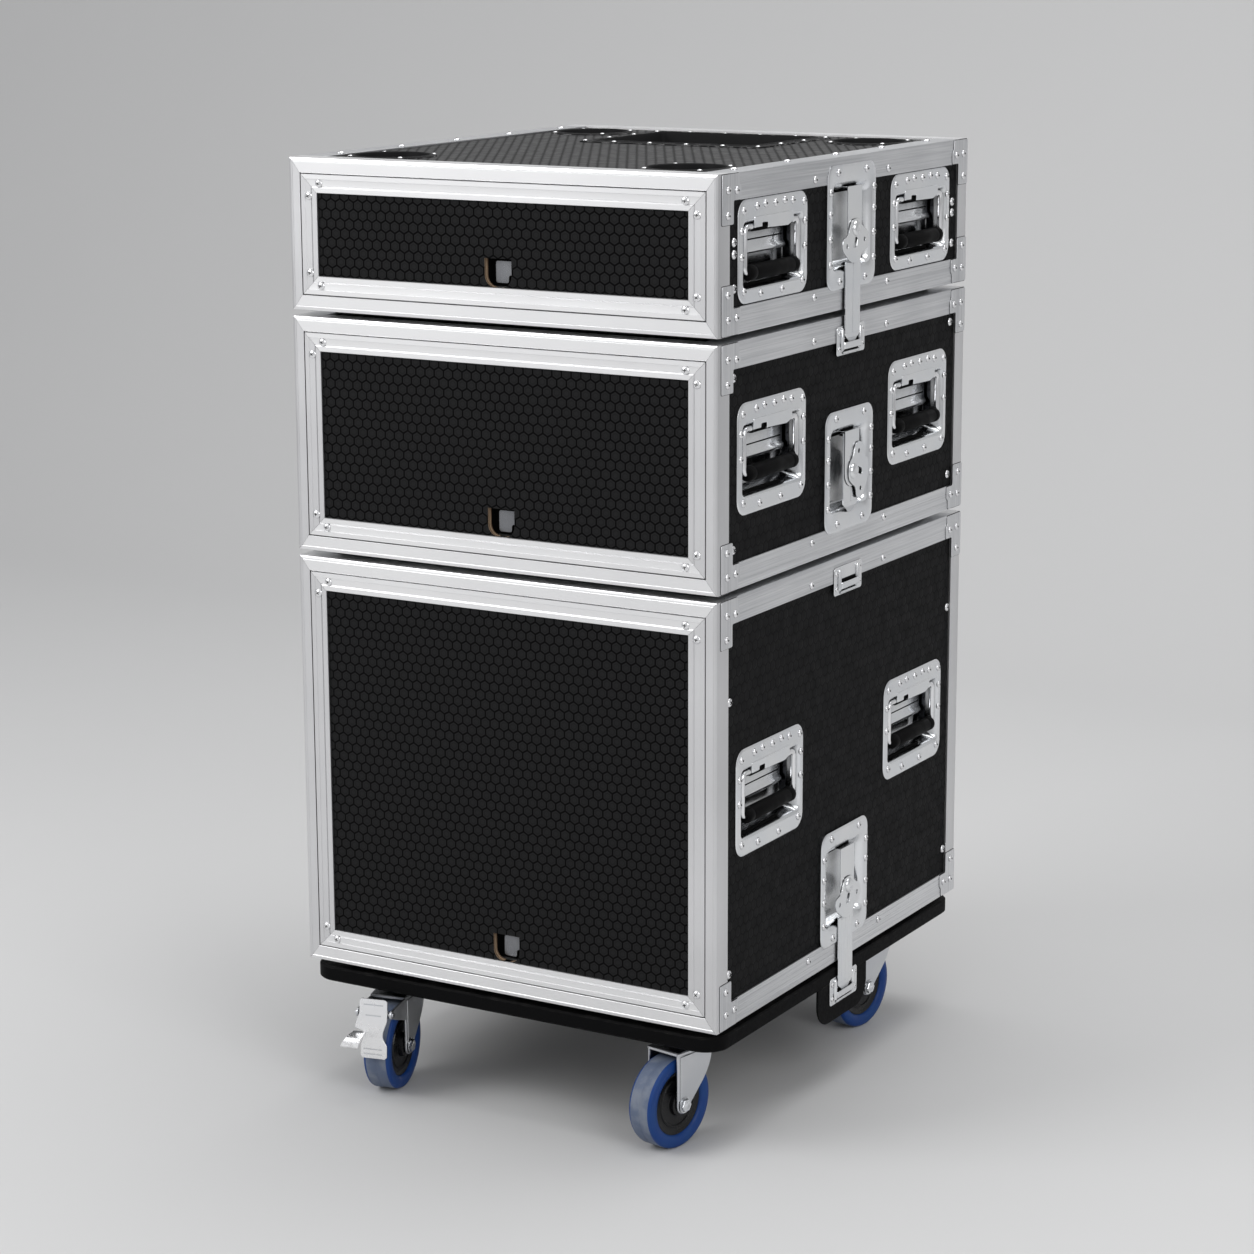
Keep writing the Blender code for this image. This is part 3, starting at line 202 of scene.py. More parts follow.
def plane(origin: Sequence[float], x_axis: Sequence[float], y_axis: Sequence[float]) -> Matrix:
    """A matrix that stands a flat outline at an origin, along two given axes."""
    right, up = Vector(x_axis), Vector(y_axis)
    turn = Matrix((right, up, right.cross(up))).transposed().to_4x4()
    return Matrix.Translation(origin) @ turn


def side_face(side: Side, x: float = 0.0, y: float = 0.0, z: float = 0.0) -> Matrix:
    """A face on one side: outline x runs to the right seen from outside, y up, depth out."""
    return plane((side.value * x, CENTRE_Y + y, z), (0, side.value, 0), (0, 0, 1))


def end_face(end: End, x: float = 0.0, y: float = HALF_DEPTH, z: float = 0.0) -> Matrix:
    """A face on one end: outline x runs to the right seen from outside, y up, depth out."""
    return plane((x, CENTRE_Y + end.value * y, z), (-end.value, 0, 0), (0, 0, 1))


def level_face(x: float = 0.0, y: float = 0.0, z: float = 0.0) -> Matrix:
    """A level face: outline x runs along X, y along Y, depth up."""
    return Matrix.Translation((x, CENTRE_Y + y, z))


def crosswise(x: float = 0.0, y: float = 0.0, z: float = 0.0) -> Matrix:
    """An upright face whose outline x runs along Y, y up, and depth along X."""
    return plane((x, y, z), (0, 1, 0), (0, 0, 1))


def shift(x: float = 0.0, y: float = 0.0, z: float = 0.0) -> Matrix:
    """A plain move, for use after a place."""
    return Matrix.Translation((x, y, z))


# Node trees


class NodeSheet:
    """Adds nodes to one tree and joins them."""

    def __init__(self, tree: bpy.types.NodeTree) -> None:
        self.tree = tree

    def node(self, kind: str, inputs: dict | None = None, **settings: object) -> bpy.types.Node:
        """Adds a node.

        Args:
            kind: the node's type name.
            inputs: socket name or index to a value, or to an output socket to join.
            settings: properties of the node itself.

        Returns:
            The new node.
        """
        node = self.tree.nodes.new(kind)
        for key, value in settings.items():
            setattr(node, key, value)
        for key, value in (inputs or {}).items():
            self.put(node.inputs[key], value)
        return node

    def put(self, socket: bpy.types.NodeSocket, value: object) -> None:
        """Joins an output socket to an input, or writes a plain value into it."""
        if isinstance(value, bpy.types.NodeSocket):
            self.tree.links.new(value, socket)
        else:
            socket.default_value = value

    def math(self, operation: str, *values: object, clamp: bool = False) -> bpy.types.NodeSocket:
        """A Math node's output."""
        inputs = dict(enumerate(values))
        return self.node("ShaderNodeMath", inputs, operation=operation, use_clamp=clamp).outputs[0]

    def times(self, first: object, second: object) -> bpy.types.NodeSocket:
        """The product of two values."""
        return self.math("MULTIPLY", first, second)

    def split(self, vector: object) -> bpy.types.NodeOutputs:
        """The three parts of a vector."""
        return self.node("ShaderNodeSeparateXYZ", {0: vector}).outputs

    def joined(self, x: object = 0.0, y: object = 0.0, z: object = 0.0) -> bpy.types.NodeSocket:
        """A vector from its three parts."""
        return self.node("ShaderNodeCombineXYZ", {0: x, 1: y, 2: z}).outputs[0]

    def noise(
        self, vector: object, scale: object, detail: float = 2.0, roughness: float = 0.5
    ) -> bpy.types.NodeSocket:
        """A Noise Texture's value."""
        inputs = {"Vector": vector, "Scale": scale, "Detail": detail, "Roughness": roughness}
        return self.node("ShaderNodeTexNoise", inputs).outputs[0]

    def vector(self, operation: str, *values: object) -> bpy.types.NodeSocket:
        """A Vector Math node's vector output."""
        return self.node("ShaderNodeVectorMath", dict(enumerate(values)), operation=operation).outputs[0]

    def ramp(
        self, value: object, low: float, high: float, to_low: float = 0.0, to_high: float = 1.0
    ) -> bpy.types.NodeSocket:
        """A smooth Map Range's output."""
        inputs = {0: value, 1: low, 2: high, 3: to_low, 4: to_high}
        return self.node("ShaderNodeMapRange", inputs, interpolation_type="SMOOTHSTEP").outputs[0]

    def blend(self, factor: object, first: object, second: object) -> bpy.types.NodeSocket:
        """A colour mix's output."""
        node = self.node("ShaderNodeMix", data_type="RGBA")
        for socket, value in zip((node.inputs[0], node.inputs[6], node.inputs[7]), (factor, first, second)):
            self.put(socket, value)
        return node.outputs[2]


def rgba(colour: Colour) -> tuple[float, float, float, float]:
    """A colour with full alpha."""
    return (*colour, 1.0)


def new_group(
    name: str, inputs: dict[str, tuple[str, object]], outputs: dict[str, str], kind: str = "ShaderNodeTree"
) -> tuple[bpy.types.NodeTree, NodeSheet, bpy.types.Node, bpy.types.Node]:
    """Makes a node group with named sockets.

    Args:
        name: the group's name.
        inputs: socket name to its type and default value.
        outputs: socket name to its type.
        kind: the tree's type.

    Returns:
        The tree, a sheet on it, and its input and output nodes.
    """
    tree = bpy.data.node_groups.new(name, kind)
    for label, (socket_type, default) in inputs.items():
        socket = tree.interface.new_socket(label, in_out="INPUT", socket_type=socket_type)
        if default is not None:
            socket.default_value = default
    for label, socket_type in outputs.items():
        tree.interface.new_socket(label, in_out="OUTPUT", socket_type=socket_type)
    sheet = NodeSheet(tree)
    return tree, sheet, sheet.node("NodeGroupInput"), sheet.node("NodeGroupOutput")


FLOAT = "NodeSocketFloat"
VECTOR = "NodeSocketVector"


class SurfaceEffects:
    """The shader node groups that several finishes share."""

    def __init__(self) -> None:
        self.grain = self.build_grain()
        self.hexagons = self.build_hexagons()
        self.wear = self.build_wear()
        self.dust = self.build_dust()

    @staticmethod
    def build_grain() -> bpy.types.NodeTree:
        """Streaks that run one way, with broad smudges over them."""
        tree, sheet, given, result = new_group(
            "directional_grain",
            {"Vector": (VECTOR, None), "Stretch": (VECTOR, (1.0, 1.0, 1.0)), "Smudge Size": (FLOAT, 14.0)},
            {"Streak": FLOAT, "Fine": FLOAT, "Smudge": FLOAT},
        )
        stretched = sheet.vector("MULTIPLY", given.outputs["Vector"], given.outputs["Stretch"])
        noises = {
            "Streak": sheet.noise(stretched, 1.0, 3.0, 0.55),
            "Fine": sheet.noise(stretched, 4.3, 2.0, 0.6),
            "Smudge": sheet.noise(given.outputs["Vector"], given.outputs["Smudge Size"], 3.0),
        }
        for label, value in noises.items():
            sheet.put(result.inputs[label], sheet.ramp(value, 0.3, 0.7))
        return tree

    @staticmethod
    def build_hexagons() -> bpy.types.NodeTree:
        """Hexagon cells with upright flat sides, from a vector whose x and y lie in the sheet."""
        tree, sheet, given, result = new_group(
            "hexagon_cells",
            {"Vector": (VECTOR, None), "Pitch": (FLOAT, 0.0125), "Groove": (FLOAT, 0.0006)},
            {"Groove": FLOAT, "Ring": FLOAT, "Tone": FLOAT},
        )
        pitch = given.outputs["Pitch"]
        half = sheet.times(pitch, 0.5)
        rise = sheet.times(pitch, math.sqrt(3) / 2)
        reach = sheet.joined(half, rise, 1.0)
        back = sheet.vector("MULTIPLY", reach, (-1.0, -1.0, -1.0))
        flat = sheet.vector("MULTIPLY", given.outputs["Vector"], (1.0, 1.0, 0.0))
        offset = sheet.vector("SUBTRACT", flat, sheet.vector("MULTIPLY", reach, (1.0, 1.0, 0.0)))
        distances = []
        for source in (flat, offset):
            cell = sheet.vector("ABSOLUTE", sheet.vector("WRAP", source, reach, back))
            x, y, _ = sheet.split(cell)
            slant = sheet.math("ADD", sheet.times(x, 0.5), sheet.times(y, math.sqrt(3) / 2))
            distances.append(sheet.math("MAXIMUM", x, slant))
        nearest = sheet.math("MINIMUM", *distances)
        edge = sheet.math("SUBTRACT", half, nearest)
        groove = given.outputs["Groove"]
        inner = sheet.times(groove, 0.35)
        line = sheet.node("ShaderNodeMapRange", {0: edge, 1: inner, 2: groove, 3: 1.0, 4: 0.0})
        ring_at = sheet.math("ABSOLUTE", sheet.math("SUBTRACT", nearest, sheet.times(half, 0.52)))
        ring = sheet.ramp(ring_at, 0.0003, 0.0012, 1.0, 0.0)
        tone = sheet.noise(given.outputs["Vector"], 60.0)
        for label, value in (("Groove", line.outputs[0]), ("Ring", ring), ("Tone", tone)):
            sheet.put(result.inputs[label], value)
        return tree

    @staticmethod
    def build_wear() -> bpy.types.NodeTree:
        """A mask of rubbed edges, broken up by noise."""
        tree, sheet, given, result = new_group(
            "edge_wear",
            {"Vector": (VECTOR, None), "Reach": (FLOAT, 0.001), "Break Up": (FLOAT, 90.0)},
            {"Wear": FLOAT},
        )
        bevel = sheet.node("ShaderNodeBevel", {"Radius": given.outputs["Reach"]}, samples=4)
        plain = sheet.node("ShaderNodeNewGeometry").outputs["Normal"]
        same = sheet.node("ShaderNodeVectorMath", {0: bevel.outputs[0], 1: plain}, operation="DOT_PRODUCT")
        rounded = sheet.ramp(same.outputs["Value"], 0.995, 0.85)
        noise = sheet.noise(given.outputs["Vector"], given.outputs["Break Up"], 4.0)
        patches = sheet.ramp(noise, 0.45, 0.62)
        sheet.put(result.inputs["Wear"], sheet.times(rounded, patches))
        return tree

    @staticmethod
    def build_dust() -> bpy.types.NodeTree:
        """A thin mask of dust that lies on faces that look up."""
        tree, sheet, given, result = new_group(
            "settled_dust", {"Vector": (VECTOR, None), "Amount": (FLOAT, 0.3)}, {"Dust": FLOAT}
        )
        normal = sheet.node("ShaderNodeNewGeometry").outputs["Normal"]
        upward = sheet.ramp(sheet.split(normal)[2], 0.3, 1.0)
        noise = sheet.noise(given.outputs["Vector"], 35.0, 6.0)
        amount = sheet.times(sheet.ramp(noise, 0.4, 0.7), given.outputs["Amount"])
        sheet.put(result.inputs["Dust"], sheet.times(upward, amount))
        return tree


EFFECTS = SurfaceEffects()


class FinishSheet(NodeSheet):
    """The node sheet of one material, with its coordinates and its shader at hand."""

    def __init__(self, name: str) -> None:
        self.material = bpy.data.materials.new(name)
        self.material.use_nodes = True
        super().__init__(self.material.node_tree)
        self.shader = self.tree.nodes["Principled BSDF"]
        self.place = self.node("ShaderNodeTexCoord").outputs["Object"]

    def effect(self, tree: bpy.types.NodeTree, inputs: dict | None = None) -> bpy.types.Node:
        """Places a shared effect, fed with this material's coordinates."""
        node = self.node("ShaderNodeGroup", node_tree=tree)
        for key, value in {"Vector": self.place, **(inputs or {})}.items():
            self.put(node.inputs[key], value)
        return node

    def shaded(self, colour: object, reach: float, least: float) -> bpy.types.NodeSocket:
        """Darkens a colour where other faces stand close by, as their reflections do.

        Args:
            colour: the open face's colour.
            reach: how far away faces still count.
            least: the share of the colour left in the tightest corner.

        Returns:
            The darkened colour.
        """
        open_share = self.node("ShaderNodeAmbientOcclusion", {"Distance": reach}, samples=6).outputs["AO"]
        share = self.ramp(open_share, 0.25, 0.85, least, 1.0)
        return self.vector("MULTIPLY", colour, self.joined(share, share, share))

    def finish(
        self, colour: object, roughness: object, metallic: float = 0.0, height: object = None,
        depth: float = 0.0, **constants: float
    ) -> bpy.types.Material:
        """Feeds the shader.

        Args:
            colour: base colour, plain or from a socket.
            roughness: roughness, plain or from a socket.
            metallic: share of metal.
            height: socket for the bump, if any.
            depth: depth of the bump, in metres.
            constants: other shader inputs, with underscores for spaces.

        Returns:
            The finished material.
        """
        inputs = self.shader.inputs
        self.put(inputs["Base Color"], colour)
        self.put(inputs["Roughness"], roughness)
        inputs["Metallic"].default_value = metallic
        for key, value in constants.items():
            inputs[key.replace("_", " ")].default_value = value
        if height is not None:
            bump = self.node("ShaderNodeBump", {"Height": height, "Distance": depth, "Strength": 1.0})
            self.put(inputs["Normal"], bump.outputs[0])
        return self.material


@dataclass(frozen=True)
class BrushedAluminium:
    """Mill aluminium whose fine lines run along one axis."""

    name: str
    grain: Axis
    bright: Colour = (0.84, 0.845, 0.86)
    dull: Colour = (0.42, 0.43, 0.45)
    lines: float = 520.0
    smooth: float = 0.28
    rough: float = 0.4

    def build(self) -> bpy.types.Material:
        """Makes the material."""
        sheet = FinishSheet(self.name)
        stretch = [self.lines] * 3
        stretch[self.grain.value] = 5.0
        grain = sheet.effect(EFFECTS.grain, {"Stretch": tuple(stretch), "Smudge Size": 5.0})
        tone = sheet.times(grain.outputs["Streak"], 0.35)
        tone = sheet.math("ADD", tone, sheet.times(grain.outputs["Smudge"], 0.3))
        colour = sheet.blend(tone, rgba(self.bright), rgba(self.dull))
        roughness = sheet.ramp(grain.outputs["Fine"], 0.0, 1.0, self.smooth, self.rough)
        return sheet.finish(sheet.shaded(colour, 0.005, 0.75), roughness, 1.0, grain.outputs["Fine"], 0.000004)


@dataclass(frozen=True)
class ZincSteel:
    """Bright zinc-plated pressed steel with faint blue passivation."""

    name: str
    bright: Colour = (0.88, 0.89, 0.9)
    blue: Colour = (0.72, 0.76, 0.83)
    smooth: float = 0.14
    rough: float = 0.24
    shade_reach: float = 0.026
    shade: float = 0.16

    def build(self) -> bpy.types.Material:
        """Makes the material."""
        sheet = FinishSheet(self.name)
        grain = sheet.effect(EFFECTS.grain, {"Stretch": (70.0, 70.0, 40.0), "Smudge Size": 18.0})
        tint = sheet.times(grain.outputs["Smudge"], 0.3)
        colour = sheet.blend(tint, rgba(self.bright), rgba(self.blue))
        roughness = sheet.ramp(grain.outputs["Streak"], 0.0, 1.0, self.smooth, self.rough)
        shaded = sheet.shaded(colour, self.shade_reach, self.shade)
        return sheet.finish(shaded, roughness, 1.0, grain.outputs["Fine"], 0.000003)


@dataclass(frozen=True)
class HexLaminate:
    """Black phenolic laminate pressed with hexagon cells."""

    name: str
    across: Axis
    up: Axis
    cell: Colour = (0.0105, 0.0105, 0.011)
    groove: Colour = (0.0008, 0.0008, 0.0009)
    groove_width: float = 0.0014
    depth: float = 0.00018
    shine: float = 0.09
    dust: float = 0.02
    matt: float = 0.6

    def build(self) -> bpy.types.Material:
        """Makes the material."""
        sheet = FinishSheet(self.name)
        parts = sheet.split(sheet.place)
        flat = sheet.joined(parts[self.across.value], parts[self.up.value])
        cells = sheet.effect(EFFECTS.hexagons, {"Vector": flat, "Groove": self.groove_width})
        dust = sheet.effect(EFFECTS.dust, {"Amount": self.dust})
        wear = sheet.effect(EFFECTS.wear, {"Reach": 0.0006})
        tone = sheet.blend(cells.outputs["Tone"], rgba(self.cell), rgba(tuple(c * 1.35 for c in self.cell)))
        ringed = sheet.blend(sheet.times(cells.outputs["Ring"], 0.35), tone, rgba(self.groove))
        lined = sheet.blend(cells.outputs["Groove"], ringed, rgba(self.groove))
        dusty = sheet.blend(dust.outputs[0], lined, (0.24, 0.23, 0.22, 1.0))
        worn = sheet.blend(wear.outputs[0], dusty, (0.05, 0.045, 0.04, 1.0))
        height = sheet.times(cells.outputs["Groove"], -1.0)
        sheen = sheet.ramp(cells.outputs["Tone"], 0.3, 0.7, 0.42, 0.56)
        roughness = sheet.math("ADD", sheen, sheet.times(cells.outputs["Groove"], self.matt), clamp=True)
        return sheet.finish(worn, roughness, 0.0, height, self.depth, Specular_IOR_Level=self.shine)


@dataclass(frozen=True)
class BlackPaint:
    """Black paint on plywood or steel, rubbed at its edges."""

    name: str
    colour: Colour = (0.0045, 0.0045, 0.0048)
    bare: Colour = (0.04, 0.038, 0.036)
    roughness: float = 0.5
    metallic: float = 0.0
    grit: float = 320.0
    shine: float = 0.03

    def build(self) -> bpy.types.Material:
        """Makes the material."""
        sheet = FinishSheet(self.name)
        wear = sheet.effect(EFFECTS.wear, {"Reach": 0.0012})
        dust = sheet.effect(EFFECTS.dust, {"Amount": 0.03})
        noise = sheet.noise(sheet.place, self.grit, 4.0)
        worn = sheet.blend(wear.outputs[0], rgba(self.colour), rgba(self.bare))
        dusty = sheet.blend(dust.outputs[0], worn, (0.22, 0.21, 0.2, 1.0))
        roughness = sheet.ramp(noise, 0.3, 0.7, self.roughness - 0.08, self.roughness + 0.1)
        return sheet.finish(dusty, roughness, self.metallic, noise, 0.00008, Specular_IOR_Level=self.shine)


@dataclass(frozen=True)
class MouldedRubber:
    """Rubber or cast tyre with a fine tooth and scuffs."""

    name: str
    colour: Colour
    scuff: Colour
    scuffed: float = 0.25
    roughness: float = 0.55
    grit: float = 900.0
    shine: float = 0.4

    def build(self) -> bpy.types.Material:
        """Makes the material."""
        sheet = FinishSheet(self.name)
        patch = sheet.noise(sheet.place, 45.0, 6.0)
        tooth = sheet.noise(sheet.place, self.grit)
        share = sheet.times(sheet.ramp(patch, 0.42, 0.66), self.scuffed)
        colour = sheet.blend(share, rgba(self.colour), rgba(self.scuff))
        roughness = sheet.ramp(patch, 0.35, 0.65, self.roughness - 0.08, self.roughness + 0.12)
        return sheet.finish(colour, roughness, 0.0, tooth, 0.00015, Specular_IOR_Level=self.shine)


@dataclass(frozen=True)
class PlyEdge:
    """The bare cut edge of plywood, with its glued layers."""

    name: str
    pale: Colour = (0.42, 0.31, 0.2)
    dark: Colour = (0.16, 0.1, 0.06)
    layer: float = 0.0023

    def build(self) -> bpy.types.Material:
        """Makes the material."""
        sheet = FinishSheet(self.name)
        band = sheet.math("PINGPONG", sheet.split(sheet.place)[1], self.layer)
        share = sheet.ramp(band, self.layer * 0.42, self.layer * 0.58)
        grain = sheet.effect(EFFECTS.grain, {"Stretch": (500.0, 900.0, 500.0)})
        layers = sheet.blend(share, rgba(self.pale), rgba(self.dark))
        colour = sheet.blend(sheet.times(grain.outputs["Streak"], 0.4), layers, rgba(self.dark))
        return sheet.finish(colour, 0.8, 0.0, grain.outputs["Fine"], 0.0001)


Finish = BrushedAluminium | ZincSteel | HexLaminate | BlackPaint | MouldedRubber | PlyEdge

ALUMINIUM = {axis: BrushedAluminium(f"brushed_aluminium_{axis.name.lower()}", axis) for axis in Axis}
# Polished aluminium for the end rings and door frames: the X copy, for the level bars, is lighter as painted light,
# and the Z copy, for the upright bars, is darker as painted shade.
POLISHED_LIT_AND_SHADED = {
    axis: BrushedAluminium(f"bright_aluminium_{axis.name.lower()}", axis, bright, dull, 0.26, 0.36)
    for axis, bright, dull in (
        (Axis.X, (0.92, 0.92, 0.925), (0.82, 0.82, 0.83)),
        (Axis.Z, (0.76, 0.76, 0.77), (0.62, 0.62, 0.63)),
    )
}
ZINC = ZincSteel("zinc_plated_steel")
ZINC_RIVET = ZincSteel("zinc_rivet", (0.9, 0.9, 0.91), (0.76, 0.77, 0.8), 0.2, 0.32, 0.003, 0.6)
ZINC_FORK = ZincSteel("zinc_castor_steel", (0.7, 0.71, 0.73), (0.55, 0.58, 0.63), 0.28, 0.4)
ZINC_PEDAL = ZincSteel("zinc_brake_steel", (0.95, 0.95, 0.955), (0.86, 0.88, 0.92), 0.2, 0.34, 0.006, 0.85)
ZINC_WIRE = ZincSteel("zinc_bail_wire", (0.92, 0.92, 0.93), (0.8, 0.82, 0.86), 0.1, 0.18, 0.003, 0.5)
# Zinc darkened as a painted dark reflection, for the side wall of the handle pan.
ZINC_PAINTED_REFLECTION = ZincSteel("zinc_dark_reflections", (0.16, 0.165, 0.18), (0.05, 0.05, 0.06), 0.14, 0.24)
# Zinc darkened as painted shade, for the plate in the door's finger pocket.
ZINC_SHADE = ZincSteel("zinc_pocket_steel", (0.27, 0.275, 0.29), (0.14, 0.145, 0.16), 0.24, 0.36)
FRONT_LAMINATE = HexLaminate("hex_laminate_end", Axis.X, Axis.Z)
# The side boards' laminate: the same laminate with darker cells, as painted shade.
SIDE_LAMINATE_PAINTED_SHADE = HexLaminate(
    "hex_laminate_side", Axis.Y, Axis.Z, (0.005, 0.005, 0.0054), (0.0036, 0.0036, 0.0038), shine=0.05, matt=0.1
)
# The top and skid boards' laminate: the same laminate with much lighter cells, as a painted sheen.
TOP_LAMINATE_PAINTED_SHEEN = HexLaminate(
    "hex_laminate_top", Axis.X, Axis.Y, (0.04, 0.04, 0.0405), (0.001, 0.001, 0.001), 0.0017, shine=0.26, matt=0.7
)
BLACK_PLY = BlackPaint("black_painted_ply")
BLACK_STEEL = BlackPaint("black_coated_steel", (0.012, 0.012, 0.0125), (0.3, 0.3, 0.3), 0.4, 0.0, 600.0)
# Painted shade: a near-black finish for slots, gaps, hollows, outlines and recesses that are dark only because shade
# falls in them.
PAINTED_SHADE = BlackPaint("painted_shade", (0.004, 0.004, 0.004), (0.004, 0.004, 0.004), 0.8)
GRIP_RUBBER = MouldedRubber("grip_rubber", (0.0035, 0.0035, 0.0037), (0.009, 0.009, 0.009), 0.4, 0.6, shine=0.05)
TYRE_BLUE = MouldedRubber("blue_tyre_side", (0.007, 0.042, 0.19), (0.02, 0.068, 0.2), 0.35, 0.45, shine=0.25)
TYRE_TREAD = MouldedRubber("worn_tyre_tread", (0.105, 0.135, 0.205), (0.2, 0.225, 0.275), 0.8, 0.62, 500.0)
WHEEL_CORE = MouldedRubber("black_wheel_core", (0.0035, 0.0035, 0.004), (0.012, 0.012, 0.012), 0.3, 0.3, shine=0.35)
PLY_EDGE = PlyEdge("plywood_edge")

MATERIALS: dict[str, bpy.types.Material] = {}


def material_of(finish: Finish) -> bpy.types.Material:
    """The material of a finish, made when it is first asked for."""
    if finish.name not in MATERIALS:
        MATERIALS[finish.name] = finish.build()
    return MATERIALS[finish.name]


# Shapes


class Shape:
    """Closed bodies of one piece, gathered in the row frame with a finish for each face."""

    def __init__(self) -> None:
        self.points: list[Vector] = []
        self.faces: list[tuple[int, ...]] = []
        self.finishes: list[Finish] = []

    def add(self, points: Sequence, faces: Sequence, place: Matrix, finish: Finish) -> None:
        """Adds points and faces, moved to their place."""
        start = len(self.points)
        self.points += [place @ Vector(point) for point in points]
        self.faces += [tuple(start + i for i in face) for face in faces]
        self.finishes += [finish] * len(faces)

    def loft(
        self, loops: Sequence[Sequence], place: Matrix, finish: Finish, ring: bool = False
    ) -> None:
        """Skins loops of equal length.

        Args:
            loops: rows of (x, y, z), each closed on itself.
            place: where the body stands.
            finish: its finish.
            ring: whether the last loop joins the first; otherwise both ends are capped.
        """
        count, rows = len(loops[0]), len(loops)
        points = [point for loop in loops for point in loop]
        faces: list[tuple[int, ...]] = []
        for a in range(rows if ring else rows - 1):
            b = (a + 1) % rows
            for i in range(count):
                j = (i + 1) % count
                faces.append((a * count + i, a * count + j, b * count + j, b * count + i))
        if not ring:
            faces.append(tuple(reversed(range(count))))
            faces.append(tuple((rows - 1) * count + i for i in range(count)))
        self.add(points, faces, place, finish)

    def plate(
        self, outline: Loop, low: float, high: float, place: Matrix, finish: Finish, edge: float = 0.0004
    ) -> None:
        """A flat plate with softened upper and lower edges."""
        drawn = inset(outline, edge)
        rows = [(drawn, low), (outline, low + edge), (outline, high - edge), (drawn, high)]
        self.loft([[(x, y, z) for x, y in loop] for loop, z in rows], place, finish)

    def cut_plate(
        self, loops: Sequence[Loop], low: float, high: float, place: Matrix, finish: Finish,
        edge: float = 0.0, cut_finish: Finish | None = None
    ) -> None:
        """A flat plate with holes.

        Args:
            loops: the outline, then the outline of each hole.
            low, high: depths of its two faces.
            place: where it stands.
            finish: its finish.
            edge: size of the chamfer round every edge.
            cut_finish: the finish of the faces that stand square to the sheet.
        """
        curve = bpy.data.curves.new("outline", "CURVE")
        curve.dimensions = "2D"
        curve.fill_mode = "BOTH"
        curve.extrude = (high - low) / 2 - edge
        curve.bevel_depth = edge
        curve.bevel_resolution = 0
        curve.offset = -edge
        for loop in loops:
            spline = curve.splines.new("POLY")
            spline.points.add(len(loop) - 1)
            for point, (x, y) in zip(spline.points, loop):
                point.co = (x, y, 0.0, 1.0)
            spline.use_cyclic_u = True
        helper = bpy.data.objects.new("outline", curve)
        bpy.context.scene.collection.objects.link(helper)
        graph = bpy.context.evaluated_depsgraph_get()
        mesh = bpy.data.meshes.new_from_object(helper.evaluated_get(graph))
        bpy.data.objects.remove(helper, do_unlink=True)
        work = bmesh.new()
        work.from_mesh(mesh)
        bmesh.ops.remove_doubles(work, verts=work.verts, dist=MERGE_DISTANCE)
        middle = shift(z=(low + high) / 2)
        work.verts.ensure_lookup_table()
        points = [middle @ vert.co for vert in work.verts]
        flat = [face for face in work.faces if abs(face.normal.z) > 0.5]
        upright = [face for face in work.faces if abs(face.normal.z) <= 0.5]
        start = len(self.points)
        self.add(points, [], place, finish)
        for group, shade in ((flat, finish), (upright, cut_finish or finish)):
            self.faces += [tuple(start + vert.index for vert in face.verts) for face in group]
            self.finishes += [shade] * len(group)
        work.free()
        bpy.data.meshes.remove(mesh)

    def bar(self, section: Loop, start: float, end: float, place: Matrix, finish: Finish) -> None:
        """A straight bar along x, with its section in y and z."""
        self.loft([[(x, y, z) for y, z in section] for x in (start, end)], place, finish)

    def turned(
        self, profile: Loop, place: Matrix, finish: Finish, steps: int = 32, ring: bool = False
    ) -> None:
        """Turns a (radius, height) profile about local Z; an open one starts and ends on the axis."""
        points: list[Spot] = []
        rows: list[list[int]] = []
        for radius, height in profile:
            if radius == 0.0:
                rows.append([len(points)] * steps)
                points.append((0.0, 0.0, height))
                continue
            rows.append(list(range(len(points), len(points) + steps)))
            for i in range(steps):
                angle = math.tau * i / steps
                points.append((radius * math.cos(angle), radius * math.sin(angle), height))
        faces = []
        for a in range(len(rows) if ring else len(rows) - 1):
            first, second = rows[a], rows[(a + 1) % len(rows)]
            for i in range(steps):
                j = (i + 1) % steps
                face = tuple(dict.fromkeys((first[i], first[j], second[j], second[i])))
                if len(face) > 2:
                    faces.append(face)
        self.add(points, faces, place, finish)

    def mesh(self, name: str, sharp: float) -> bpy.types.Mesh:
        """The piece as one mesh, its faces outward and smooth up to an angle in degrees."""
        mesh = bpy.data.meshes.new(name)
        mesh.from_pydata(self.points, [], self.faces)
        kinds = list(dict.fromkeys(finish.name for finish in self.finishes))
        named = {finish.name: finish for finish in self.finishes}
        for kind in kinds:
            mesh.materials.append(material_of(named[kind]))
        mesh.polygons.foreach_set("material_index", [kinds.index(f.name) for f in self.finishes])
        work = bmesh.new()
        work.from_mesh(mesh)
        bmesh.ops.recalc_face_normals(work, faces=work.faces)
        work.to_mesh(mesh)
        work.free()
        mesh.shade_smooth()
        mesh.set_sharp_from_angle(angle=math.radians(sharp))
        return mesh


def publish(
    name: str, mesh: bpy.types.Mesh, body: str, stands_for: Sequence[str] = ()
) -> bpy.types.Object:
    """Puts a finished mesh into the scene as one piece.

    Args:
        name: the piece's name.
        mesh: its mesh, in the row frame.
        body: the body that it moves with.
        stands_for: the nodes that it is shown for.

    Returns:
        The piece.
    """
    piece = bpy.data.objects.new(name, mesh)
    bpy.context.scene.collection.objects.link(piece)
    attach(piece, body)
    if stands_for:
        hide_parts(*stands_for)
    LOG.info("%s: %d faces on %s", name, len(mesh.polygons), body)
    return piece


# Geometry Nodes: fasteners and bent wire


class Fastener(Enum):
    """Kinds of fastener head: diameter, height, recess width and recess length."""

    RIVET = (0.0092, 0.0026, 0.0019, 0.0)
    SMALL_RIVET = (0.0062, 0.0016, 0.0012, 0.0)
    PANEL_SCREW = (0.0108, 0.003, 0.001, 0.005)
    DOOR_SCREW = (0.0102, 0.0027, 0.0008, 0.0042)


